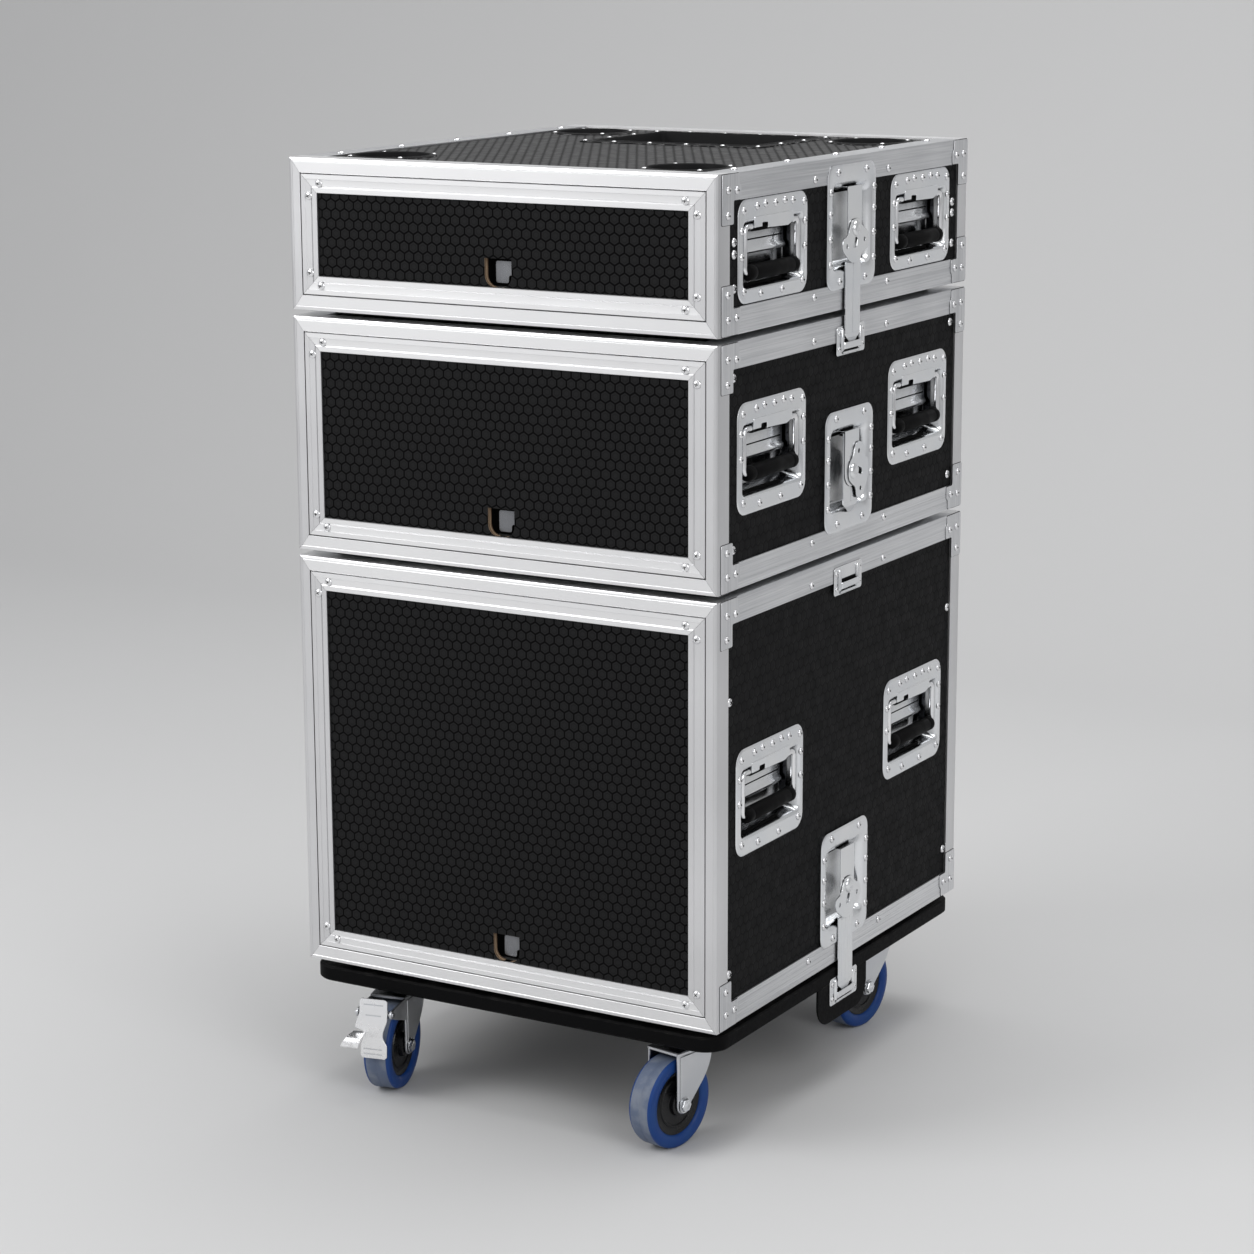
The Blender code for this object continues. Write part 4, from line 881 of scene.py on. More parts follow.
class FastenerTree:
    """The tree that stands a fastener head on each point of a mesh."""

    def __init__(self) -> None:
        tree, sheet, given, result = new_group(
            "fastener_heads",
            {
                "Points": ("NodeSocketGeometry", None),
                "Head Diameter": (FLOAT, 0.009),
                "Head Height": (FLOAT, 0.0024),
                "Recess Width": (FLOAT, 0.001),
                "Recess Length": (FLOAT, 0.005),
                "Seed": ("NodeSocketInt", 7),
                "Head Finish": ("NodeSocketMaterial", None),
                "Recess Finish": ("NodeSocketMaterial", None),
            },
            {"Geometry": "NodeSocketGeometry"},
            "GeometryNodeTree",
        )
        self.tree = tree
        ball = sheet.node("GeometryNodeMeshUVSphere", {"Segments": 12, "Rings": 8, "Radius": 1.0})
        x, y, z = sheet.split(sheet.node("GeometryNodeInputPosition").outputs[0])
        radius = sheet.times(given.outputs["Head Diameter"], 0.5)
        height = given.outputs["Head Height"]
        rise = sheet.times(sheet.math("MAXIMUM", z, 0.0), height)
        spot = sheet.joined(sheet.times(x, radius), sheet.times(y, radius), rise)
        dome = sheet.node("GeometryNodeSetPosition", {"Geometry": ball.outputs["Mesh"], "Position": spot})
        dome = sheet.node("GeometryNodeSetShadeSmooth", {"Geometry": dome.outputs[0]})
        width = given.outputs["Recess Width"]
        length = sheet.math("MAXIMUM", given.outputs["Recess Length"], width)
        bars = []
        for x, y in ((length, width), (width, length)):
            size = sheet.joined(x, y, sheet.times(height, 0.3))
            bar = sheet.node("GeometryNodeMeshCube", {"Size": size})
            bars.append(bar.outputs["Mesh"])
        recess = sheet.node("GeometryNodeJoinGeometry")
        for bar in bars:
            sheet.put(recess.inputs[0], bar)
        lift = sheet.joined(z=sheet.times(height, 0.88))
        raised = sheet.node("GeometryNodeTransform", {"Geometry": recess.outputs[0], "Translation": lift})
        marked = sheet.node(
            "GeometryNodeStoreNamedAttribute",
            {"Geometry": raised.outputs[0], "Name": "recess", "Value": True},
            data_type="BOOLEAN",
            domain="FACE",
        )
        head = sheet.node("GeometryNodeJoinGeometry")
        for part in (dome, marked):
            sheet.put(head.inputs[0], part.outputs[0])
        facing = sheet.node("GeometryNodeInputNamedAttribute", {"Name": "facing"}, data_type="FLOAT_VECTOR")
        upright = sheet.node("FunctionNodeAlignRotationToVector", {"Vector": facing.outputs[0]}, axis="Z")
        stood = sheet.node(
            "GeometryNodeInstanceOnPoints",
            {"Points": given.outputs["Points"], "Instance": head.outputs[0], "Rotation": upright.outputs[0]},
        )
        spin = sheet.node(
            "FunctionNodeRandomValue",
            {"Min": (0.0, 0.0, 0.0), "Max": (0.0, 0.0, math.tau), "Seed": given.outputs["Seed"]},
            data_type="FLOAT_VECTOR",
        )
        turned = sheet.node(
            "GeometryNodeRotateInstances", {"Instances": stood.outputs[0], "Rotation": spin.outputs[0]}
        )
        real = sheet.node("GeometryNodeRealizeInstances", {0: turned.outputs[0]})
        shaded = sheet.node(
            "GeometryNodeSetMaterial", {"Geometry": real.outputs[0], "Material": given.outputs["Head Finish"]}
        )
        recessed = sheet.node("GeometryNodeInputNamedAttribute", {"Name": "recess"}, data_type="BOOLEAN")
        last = sheet.node(
            "GeometryNodeSetMaterial",
            {
                "Geometry": shaded.outputs[0],
                "Selection": recessed.outputs[0],
                "Material": given.outputs["Recess Finish"],
            },
        )
        sheet.put(result.inputs[0], last.outputs[0])


class WireTree:
    """The tree that bends a round wire along a polyline."""

    def __init__(self) -> None:
        tree, sheet, given, result = new_group(
            "bent_wire",
            {
                "Path": ("NodeSocketGeometry", None),
                "Wire Diameter": (FLOAT, 0.0066),
                "Bend Radius": (FLOAT, 0.007),
                "Finish": ("NodeSocketMaterial", None),
            },
            {"Geometry": "NodeSocketGeometry"},
            "GeometryNodeTree",
        )
        self.tree = tree
        line = sheet.node("GeometryNodeMeshToCurve", {"Mesh": given.outputs["Path"]})
        bent = sheet.node(
            "GeometryNodeFilletCurve",
            {"Curve": line.outputs[0], "Count": 6, "Radius": given.outputs["Bend Radius"], "Limit Radius": True},
            mode="POLY",
        )
        radius = sheet.times(given.outputs["Wire Diameter"], 0.5)
        section = sheet.node("GeometryNodeCurvePrimitiveCircle", {"Resolution": 14, "Radius": radius})
        swept = sheet.node(
            "GeometryNodeCurveToMesh",
            {"Curve": bent.outputs[0], "Profile Curve": section.outputs[0], "Fill Caps": True},
        )
        smooth = sheet.node("GeometryNodeSetShadeSmooth", {"Geometry": swept.outputs[0]})
        real = sheet.node("GeometryNodeRealizeInstances", {0: smooth.outputs[0]})
        shaded = sheet.node(
            "GeometryNodeSetMaterial", {"Geometry": real.outputs[0], "Material": given.outputs["Finish"]}
        )
        sheet.put(result.inputs[0], shaded.outputs[0])


def run_tree(tree: bpy.types.NodeTree, mesh: bpy.types.Mesh, values: dict[str, object]) -> bpy.types.Mesh:
    """Runs a Geometry Nodes tree on a mesh.

    Args:
        tree: the tree.
        mesh: the mesh that goes in.
        values: input name to value; sockets are set by their identifiers.

    Returns:
        The result as a plain mesh.
    """
    helper = bpy.data.objects.new("helper", mesh)
    bpy.context.scene.collection.objects.link(helper)
    modifier = helper.modifiers.new("tree", "NODES")
    modifier.node_group = tree
    for item in tree.interface.items_tree:
        if item.item_type == "SOCKET" and item.name in values:
            modifier[item.identifier] = values[item.name]
    helper.update_tag()
    bpy.context.view_layer.update()
    graph = bpy.context.evaluated_depsgraph_get()
    result = bpy.data.meshes.new_from_object(helper.evaluated_get(graph))
    helper.modifiers.remove(modifier)
    bpy.data.objects.remove(helper, do_unlink=True)
    return result


FASTENER_TREE = FastenerTree().tree
WIRE_TREE = WireTree().tree


class Fasteners:
    """Points where fasteners stand, kept by kind until the piece is made."""

    def __init__(self) -> None:
        self.spots: dict[Fastener, list[tuple[Vector, Vector]]] = {}

    def add(self, kind: Fastener, place: Matrix, spots: Sequence[Point], level: float = 0.0) -> None:
        """Stands fasteners on a place, at (x, y) of it and a level above it."""
        facing = (place.to_3x3() @ Vector((0, 0, 1))).normalized()
        for x, y in spots:
            self.spots.setdefault(kind, []).append((place @ Vector((x, y, level)), facing))

    def piece(self, name: str, body: str, stands_for: Sequence[str] = ()) -> None:
        """Makes one piece of all the fasteners."""
        work = bmesh.new()
        materials: list[bpy.types.Material] = []
        for kind, spots in self.spots.items():
            points = bpy.data.meshes.new("points")
            points.from_pydata([spot for spot, _ in spots], [], [])
            facing = points.attributes.new("facing", "FLOAT_VECTOR", "POINT")
            facing.data.foreach_set("vector", [c for _, normal in spots for c in normal])
            diameter, height, width, length = kind.value
            heads = run_tree(
                FASTENER_TREE,
                points,
                {
                    "Head Diameter": diameter,
                    "Head Height": height,
                    "Recess Width": width,
                    "Recess Length": length,
                    "Seed": 7,
                    "Head Finish": material_of(ZINC_RIVET),
                    # The recesses in the heads are painted shade.
                    "Recess Finish": material_of(PAINTED_SHADE),
                },
            )
            materials = list(heads.materials)
            work.from_mesh(heads)
        mesh = bpy.data.meshes.new(name)
        work.to_mesh(mesh)
        work.free()
        for material in materials:
            mesh.materials.append(material)
        publish(name, mesh, body, stands_for)


def wire_piece(
    name: str, path: Sequence[Vector], diameter: float, bend: float, body: str, stands_for: Sequence[str]
) -> None:
    """Makes a bent zinc wire as one piece."""
    line = bpy.data.meshes.new("path")
    line.from_pydata(list(path), [(i, i + 1) for i in range(len(path) - 1)], [])
    values = {"Wire Diameter": diameter, "Bend Radius": bend, "Finish": material_of(ZINC_WIRE)}
    mesh = run_tree(WIRE_TREE, line, values)
    mesh.name = name
    publish(name, mesh, body, stands_for)


# The three cases


@dataclass(frozen=True)
class CaseUnit:
    """One case of the stack, with the sizes in which it differs from the others."""

    name: str
    handle_level: float
    handle_height: float
    body: str
    latched: bool = True

    @property
    def base(self) -> float:
        """Height of its lowest rail above the floor."""
        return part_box(f"{self.name}_frame")[0].z

    @property
    def height(self) -> float:
        """Height over its rails."""
        low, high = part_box(f"{self.name}_frame")
        return high.z - low.z


UNITS = (
    CaseUnit("bottom", 0.255, 0.125, "root"),
    CaseUnit("middle", 0.1425, 0.125, "upper_units", latched=False),
    CaseUnit("top", 0.0875, 0.1135, "upper_units"),
)


@dataclass
class LatchLayers:
    """Where each layer of the latch stands, measured out from the rails."""

    gap: float = 0.0003
    sheet: float = 0.0012
    strap_wall: float = 0.0015
    wing_wall: float = 0.0017

    @property
    def flange(self) -> float:
        """Outer face of the flange."""
        return self.gap + self.sheet

    @property
    def strap(self) -> float:
        """Outer face of the strap."""
        return self.flange + self.gap + self.strap_wall

    @property
    def arm(self) -> float:
        """Outer face of the arm that carries the wing."""
        return self.strap + self.gap + self.sheet

    @property
    def wing(self) -> float:
        """Outer face of the wing."""
        return self.arm + self.gap + self.wing_wall


LAYERS = LatchLayers()


@dataclass
class Keeper:
    """A latch keeper: a base plate with a curled ear at each side and the bar that holds the strap."""

    width: float = 0.072
    height: float = 0.034
    wall: float = 0.0012
    bar: float = 0.0077
    lift: float = 0.0073
    span: float = 0.044
    drop: float = 0.0115

    def build(self, shape: Shape, rivets: Fasteners, side: Side, top: float) -> None:
        """Adds the keeper whose upper edge stands at a height."""
        face = side_face(side, x=HALF_WIDTH, z=top - self.drop)
        wall, half, foot = self.wall, self.span / 2, 0.006
        outline = rounded_rectangle(self.width, self.height, 0.004, y=-self.height / 2)
        shape.plate(outline, 0.0, wall, face, ZINC)
        low = -self.height + self.lift
        # A dark patch on the base plate behind and under the bar: painted shade.
        opening = rectangle(2 * half - 0.006, self.bar + 0.0075, y=low + self.bar / 2)
        shape.plate(filleted(opening, 0.001), wall - 0.0003, wall + 0.00008, face, PAINTED_SHADE, 0.00004)
        rise = LAYERS.strap + LAYERS.gap + wall
        path = [
            (-half - foot, wall), (-half - 0.003, wall), (-half - 0.001, rise * 0.55), (-half + 0.001, rise),
            (half - 0.001, rise), (half + 0.001, rise * 0.55), (half + 0.003, wall), (half + foot, wall),
        ]
        under = [(x, max(wall * 0.5, z - wall)) for x, z in path]
        section = path + under[::-1]
        rows = ((low, 0.0004), (low + 0.0006, 0.0), (low + self.bar - 0.0006, 0.0), (low + self.bar, 0.0004))
        loops = [[(x, y, max(z - sink, wall * 0.4)) for x, z in section] for y, sink in rows]
        shape.loft(loops, face, ZINC)
        bead = arc(-self.height + 0.0028, wall * 0.6, 0.0018, 180, 0, 8)
        shape.bar(bead, 0.001 - half, half - 0.001, face, ZINC)
        for x in (-half - 0.0012, half + 0.0012):
            rows = ((low - 0.001, 0.0032), (-0.0055, 0.0032), (-0.0035, 0.0026), (-0.0022, 0.0014))
            loops = [[(u, y, z) for u, z in arc(x, wall * 0.6, r, 0, 180, 8)] for y, r in rows]
            shape.loft(loops, face, ZINC)
        spots = [(sign * (self.width / 2 - 0.006), y) for sign in (-1, 1) for y in (-0.008, -self.height + 0.008)]
        rivets.add(Fastener.SMALL_RIVET, face, spots, wall)


@dataclass
class EdgeFrame:
    """The aluminium edges of one case: four rails, two mitred end rings and the corner plates."""

    unit: CaseUnit
    stop: float = 0.006
    corner: float = 0.0014
    plate_wall: float = 0.0012
    plate_leg: float = 0.054
    plate_width: float = 0.026
    plate_arm: float = 0.043
    shape: Shape = field(default_factory=Shape)
    hardware: Shape = field(default_factory=Shape)
    rivets: Fasteners = field(default_factory=Fasteners)

    def end_ring(self, end: End) -> None:
        """Adds the mitred ring that the door seats in."""
        r, wall = self.corner, RAIL_WALL
        section = [
            (0.0, 0.0, -END_FLANGE), (0.0, 0.0, -r), (r * 0.3, r * 0.3, -r * 0.3), (r, r, 0.0),
            (0.0042, 0.0042, 0.0), (0.0046, 0.0046, -0.0003), (0.005, 0.005, 0.0),
            (SIDE_STRIP - 0.0004, TOP_STRIP - 0.0004, 0.0), (SIDE_STRIP, TOP_STRIP, -0.0004),
            (SIDE_STRIP, TOP_STRIP, -wall), (wall, wall, -wall), (wall, wall, wall - END_FLANGE),
            (SIDE_STRIP + self.stop, TOP_STRIP + self.stop, wall - END_FLANGE),
            (SIDE_STRIP + self.stop, TOP_STRIP + self.stop, -END_FLANGE),
        ]
        bars(
            self.shape, section, HALF_WIDTH, self.unit.height / 2,
            end_face(end, z=self.unit.base + self.unit.height / 2), MITRE_GAP, POLISHED_LIT_AND_SHADED,
        )

    def long_rail(self, side: Side, top: bool) -> None:
        """Adds one angle rail along the case, with the shallow lines of its extrusion."""
        up = -1 if top else 1
        lines = (0.0065, 0.0125, 0.0185, 0.0245) if self.unit.name == "bottom" and not top else (0.01, 0.0205)
        r, wall = self.corner, RAIL_WALL
        face = [(0.0, RAIL_FLANGE - 0.0004)]
        for line in reversed(lines):
            face += [(0.0, line + 0.0006), (-0.0003, line), (0.0, line - 0.0006)]
        section = [
            *face, (0.0, r), (-r * 0.3, r * 0.3), (-r, 0.0), (-RAIL_FLANGE + 0.0004, 0.0),
            (-RAIL_FLANGE, 0.0004), (-RAIL_FLANGE, wall), (-wall, wall), (-wall, RAIL_FLANGE),
            (-0.0004, RAIL_FLANGE),
        ]
        level = self.unit.base + (self.unit.height if top else 0.0)
        reach = HALF_DEPTH - END_FLANGE - 0.0002
        place = plane((side.value * HALF_WIDTH, CENTRE_Y, level), (side.value, 0, 0), (0, 0, 1))
        loops = [[(x, up * y, z) for x, y in section] for z in (-reach, reach)]
        self.shape.loft(loops, place, ALUMINIUM[Axis.Y])
        rows = [(-0.092, -0.0215), (0.096, -0.0215)]
        place = side_face(side, x=HALF_WIDTH, z=level)
        self.rivets.add(Fastener.RIVET, place, [(side.value * y, up * -z) for y, z in rows])
        if self.unit.name == "top" and top:
            spots = [(side.value * (HALF_WIDTH - 0.021), y) for y in (-0.245, -0.12, 0.0, 0.12, 0.245)]
            self.rivets.add(Fastener.RIVET, level_face(z=level), spots)

    def corner_plate(self, side: Side, end: End, top: bool) -> None:
        """Adds the L plate riveted over one corner, and its rivets."""
        up = -1 if top else 1
        level = self.unit.height - 0.001 if top else 0.001
        edge = end.value * (HALF_DEPTH - (0.007 if end is End.FRONT else 0.001))
        inward = -end.value
        high = RAIL_FLANGE - 0.0015
        arm = self.plate_arm
        corners = [
            (0.0, 0.0), (arm - 0.004, 0.0), (arm - 0.004, high * 0.38), (arm, high * 0.46),
            (arm, high), (self.plate_width, high), (self.plate_width, self.plate_leg), (0.0, self.plate_leg),
        ]
        place = side_face(side, x=HALF_WIDTH, z=self.unit.base)

        def on_side(spots: Sequence[Point]) -> Loop:
            return [(side.value * (edge + inward * a), level + up * b) for a, b in spots]

        outline = filleted(on_side(corners), 0.0022)
        self.shape.plate(outline, -0.0002, self.plate_wall, place, ALUMINIUM[Axis.Z], 0.0003)
        # A dark rim just outside the plate: painted shade along its edge.
        self.shape.plate(inset(outline, -0.0006), -0.0003, 0.00012, place, PAINTED_SHADE, 0.0001)
        spots = [(0.013, 0.017), (0.0325, 0.018), (0.0125, 0.044)]
        self.rivets.add(Fastener.RIVET, place, on_side(spots), self.plate_wall)

    def build(self) -> None:
        """Builds and publishes the frame, its keepers and its rivets."""
        unit = self.unit
        for end in End:
            self.end_ring(end)
        for side in Side:
            for top in (True, False):
                self.long_rail(side, top)
                for end in End:
                    self.corner_plate(side, end, top)
            if unit.name != "top":
                Keeper().build(self.hardware, self.rivets, side, unit.base + unit.height)
        node = f"{unit.name}_frame"
        publish(f"{unit.name}_edge_frame", self.shape.mesh("frame", 25), unit.body, [node])
        if self.hardware.faces:
            publish(f"{unit.name}_keepers", self.hardware.mesh("keepers", 30), unit.body, [node])
        self.rivets.piece(f"{unit.name}_frame_rivets", unit.body, [node])


def bars(
    shape: Shape, section: Sequence[Spot], half_width: float, half_height: float,
    place: Matrix, gap: float, finishes: dict[Axis, BrushedAluminium]
) -> None:
    """Adds four extruded bars that meet in mitres.

    Args:
        shape: the piece that takes them.
        section: (in from the sides, in from top and bottom, depth) round the bar's section.
        half_width, half_height: half sizes of the ring over its outer faces.
        place: where the ring's middle stands.
        gap: half of the open joint at each mitre.
        finishes: the finish for each grain direction.
    """
    corners = [(-1, -1), (1, -1), (1, 1), (-1, 1)]
    for k in range(4):
        (ax, ay), (bx, by) = corners[k], corners[(k + 1) % 4]
        along = Vector((bx - ax, by - ay, 0)).normalized() * gap
        loops = [
            [(sx * (half_width - u) + s * along.x, sy * (half_height - v) + s * along.y, w) for u, v, w in section]
            for sx, sy, s in ((ax, ay, 1), (bx, by, -1))
        ]
        # Level bars take the X finish and upright bars the Z finish; with the polished pair this paints light on the
        # level bars and shade on the upright ones.
        shape.loft(loops, place, finishes[Axis.X if ay == by else Axis.Z])


# The plywood shell


def rows_of(*rows: tuple[Loop, float]) -> list[list[Spot]]:
    """Turns (outline, depth) pairs into loops for a loft."""
    return [[(x, y, depth) for x, y in outline] for outline, depth in rows]


class PressedDish:
    """A sheet pressed into a pan with a rolled mouth and a flange."""

    def opening(self, shrink: float, radius: float) -> Loop:
        """The mouth's outline, drawn in or let out by a distance."""
        raise NotImplementedError

    def outer(self, shrink: float) -> Loop:
        """The flange's outline, drawn in by a distance."""
        raise NotImplementedError

    def press(self, shape: Shape, rows: Sequence[tuple], place: Matrix, finish: Finish) -> None:
        """Adds the pan.

        Args:
            shape: the piece that takes it.
            rows: (drawn in, corner radius, depth) round the mouth, or (drawn in, depth) round the flange.
            place: where it stands.
            finish: its finish.
        """
        loops = []
        for shrink, *radius, depth in rows:
            outline = self.opening(shrink, *radius) if radius else self.outer(shrink)
            loops.append([(x, y, depth) for x, y in outline])
        shape.loft(loops, place, finish)


@dataclass
class HandleDish(PressedDish):
    """The pressed dish of a sprung handle: flange, rolled mouth, deep pan and hinge flap."""

    unit: CaseUnit
    width: float = 0.164
    corner: float = 0.018
    side_band: float = 0.013
    depth: float = 0.024
    draft: float = 0.004
    sheet: float = 0.0015

    @property
    def foot(self) -> float:
        """The flange's band under the mouth, broader on the tall dishes."""
        return 0.018 if self.unit.handle_height < 0.115 else 0.022

    def opening(self, shrink: float, radius: float = 0.005) -> Loop:
        """The mouth's outline, drawn in or let out by a distance."""
        width = self.width - 2 * self.side_band - 2 * shrink
        foot = self.foot
        height = self.unit.handle_height - HANDLE_HEAD - foot - 2 * shrink
        return rounded_rectangle(width, height, max(radius, 0.002), y=(foot - HANDLE_HEAD) / 2)

    def outer(self, shrink: float) -> Loop:
        """The flange's outline, drawn in by a distance."""
        return rounded_rectangle(
            self.width - 2 * shrink, self.unit.handle_height - 2 * shrink, self.corner - shrink
        )

    def build(self, shape: Shape, rivets: Fasteners, side: Side, offset: float) -> None:
        """Adds the dish at its place along one side."""
        unit = self.unit
        face = side_face(side, x=BOARD_FACE, y=offset, z=unit.base + unit.handle_level)
        d, draft = self.depth - 0.0008, self.draft
        rows = (
            (draft + 0.0045, 0.004, -d), (draft + 0.0018, 0.006, -d + 0.001), (draft + 0.0004, 0.007, -d + 0.0036),
            (0.0008, 0.007, -0.0036), (-0.0002, 0.006, -0.0012), (-0.0016, 0.007, 0.001), (-0.0034, 0.008, 0.002),
            (-0.005, 0.009, 0.0016), (0.003, 0.0016), (0.001, 0.0013), (0.0, 0.0005), (0.0002, 0.0),
            (-0.002, 0.008, 0.0), (-0.001, 0.008, -0.004), (draft - 0.001, 0.008, -d + 0.003),
            (draft + 0.004, 0.005, -d - 0.001),
        )
        self.press(shape, rows, face, ZINC)
        self.add_floor_step(shape, face)
        self.add_flap(shape, face)
        top = unit.handle_height / 2
        heads = (
            (-0.07, 0.012), (-0.039, 0.009), (-0.02, 0.0075), (0.004, 0.0085), (0.026, 0.0075),
            (0.045, 0.009), (0.072, 0.012), (0.0745, 0.034), (0.0745, 0.062), (-0.0745, 0.034), (-0.0745, 0.062),
        )
        feet = ((-0.069, 0.014), (-0.03, 0.009), (0.02, 0.009), (0.069, 0.014))
        spots = [(x, top - y) for x, y in heads] + [(x, y - top) for x, y in feet]
        rivets.add(Fastener.RIVET, face, spots, 0.0014)

    def add_floor_step(self, shape: Shape, face: Matrix) -> None:
        """The upper half of the pan's floor stands out in a step with a rounded lip."""
        half = self.width / 2 - self.side_band - 0.01
        top = self.unit.handle_height / 2 - HANDLE_HEAD - 0.004
        level = -0.004
        d = self.depth
        profile = [
            (top, -d), (top, -d + 0.006), (level + 0.006, -d + 0.006), (level + 0.003, -d + 0.0085),
            (level, -d + 0.009), (level - 0.002, -d + 0.008), (level - 0.0025, -d + 0.0055), (level - 0.0025, -d),
        ]
        shape.bar(profile, -half, half, face, ZINC)
        # A dark line across the raised floor: painted shade.
        line = rounded_rectangle(2 * half - 0.006, 0.0016, 0.0007, y=level + 0.013)
        shape.plate(line, -d + 0.0056, -d + 0.00615, face, PAINTED_SHADE, 0.0001)
        edge = self.foot - self.unit.handle_height / 2
        # A dark slot along the lower edge of the mouth: painted shade.
        slot = rounded_rectangle(1.5 * half, 0.004, 0.0012, x=-0.25 * half, y=edge + 0.0022)
        shape.plate(slot, -0.0066, -0.0046, face, PAINTED_SHADE, 0.0003)
        # A darker zinc patch on one side wall of the pan: a painted dark reflection.
        wall = face @ crosswise(self.width / 2 - self.side_band - 0.0048, 0.0, 0.0)
        shade = rounded_rectangle(top - edge - 0.012, d - 0.015, 0.002, (top + edge) / 2, -(d + 0.009) / 2)
        shape.plate(shade, -0.0006, 0.0, wall, ZINC_PAINTED_REFLECTION, 0.0002)

    def add_flap(self, shape: Shape, face: Matrix) -> None:
        """The hinge flap between the ends of the bail, notched at its lower edge."""
        top = self.unit.handle_height / 2
        low = top - HANDLE_HEAD - 0.0085
        half = 0.046
        corners = [
            (-half, top - HANDLE_HEAD + 0.006), (-half, low + 0.002), (-0.028, low + 0.002), (-0.028, low + 0.0065),
            (-0.014, low + 0.0065), (-0.014, low), (half - 0.012, low - 0.001), (half, low + 0.003),
            (half, top - HANDLE_HEAD + 0.006),
        ]
        shape.plate(filleted(corners, 0.0015), -0.001, 0.0022, face, ZINC, 0.0006)
        for x in (-half - 0.0035, half + 0.0035):
            knuckle = arc(top - HANDLE_HEAD - 0.0045, -0.0036, 0.0046, 0, 180, 6)
            shape.bar(knuckle, x - 0.0028, x + 0.0028, face, ZINC)
        shadow = rectangle(2 * half - 0.004, 0.01, y=low + 0.003)
        shape.plate(shadow, -self.depth + 0.001, -0.0014, face, PAINTED_SHADE, 0.0004)
        # Dark slots where the bail's ends go in: painted shade.
        for x in (-self.width / 2 + self.side_band + 0.007, self.width / 2 - self.side_band - 0.007):
            slot = rounded_rectangle(0.011, 0.015, 0.003, x=x, y=top - HANDLE_HEAD - 0.0062)
            shape.plate(slot, -self.depth + 0.004, -0.0125, face, PAINTED_SHADE, 0.0004)


@dataclass
class LatchDish(PressedDish):
    """The pressed dish of a butterfly latch, with the tab that carries the wing."""

    unit: CaseUnit
    width: float = 0.124
    height: float = 0.142
    corner: float = 0.016
    base: float = 0.024
    mouth_width: float = 0.089
    mouth_height: float = 0.092
    depth: float = 0.016
    draft: float = 0.004
    tab_width: float = 0.036

    def opening(self, shrink: float, radius: float = 0.006) -> Loop:
        """The mouth's outline, drawn in or let out by a distance."""
        return rounded_rectangle(self.mouth_width - 2 * shrink, self.mouth_height - 2 * shrink, radius)

    def outer(self, shrink: float) -> Loop:
        """The flange's outline, drawn in by a distance."""
        return rounded_rectangle(self.width - 2 * shrink, self.height - 2 * shrink, self.corner - shrink)

    def build(self, shape: Shape, rivets: Fasteners, side: Side) -> None:
        """Adds the dish at the middle of one side."""
        centre = self.base + self.height / 2
        face = side_face(side, x=HALF_WIDTH, z=self.unit.base + centre)
        d, flange = self.depth, LAYERS.flange
        draft = self.draft
        rows = (
            (draft + 0.004, 0.004, -d + 0.0012), (draft + 0.0015, 0.006, -d + 0.0022), (draft, 0.007, -d + 0.005),
            (0.0018, 0.008, -0.007), (0.0004, 0.009, -0.0034), (-0.0022, 0.01, -0.0006), (-0.0058, 0.012, flange),
            (0.003, flange), (0.001, flange - 0.0003), (0.0, flange - 0.001), (0.0, -0.0022),
            (-0.004, 0.01, -0.0024), (-0.0004, 0.009, -0.006), (draft - 0.001, 0.008, -d + 0.004),
            (draft + 0.003, 0.005, -d),
        )
        self.press(shape, rows, face, ZINC)
        hub = LATCH_HUB - centre
        top = self.mouth_height / 2 - 0.0004
        half = self.tab_width / 2
        corners = [(-half, top), (-half, hub), *arc(0.0, hub, half, 180, 360, 10)[1:-1], (half, hub), (half, top)]
        shape.plate(corners, LAYERS.arm - LAYERS.sheet, LAYERS.arm, face, ZINC, 0.0003)
        foot = rectangle(self.tab_width - 0.001, 0.0008, y=top - 0.0004)
        shape.plate(foot, 0.002 - d, LAYERS.arm - 0.0002, face, ZINC, 0.0002)
        # A dark band across the pan's floor at the top of the mouth: painted shade.
        band = rectangle(self.mouth_width - 0.016, 0.006, y=top - 0.0046)
        shape.plate(band, 0.0024 - d, 0.003 - d, face, PAINTED_SHADE, 0.0001)
        edge = self.height / 2
        spots = [(-0.036, edge - 0.0085), (0.036, edge - 0.0085), (-0.031, 0.0095 - edge), (0.034, 0.0095 - edge)]
        for sign in (-1, 1):
            spots += [(sign * 0.0555, y) for y in (edge - 0.03, 0.016, -0.012, 0.03 - edge)]
        rivets.add(Fastener.RIVET, face, spots, flange - 0.0001)


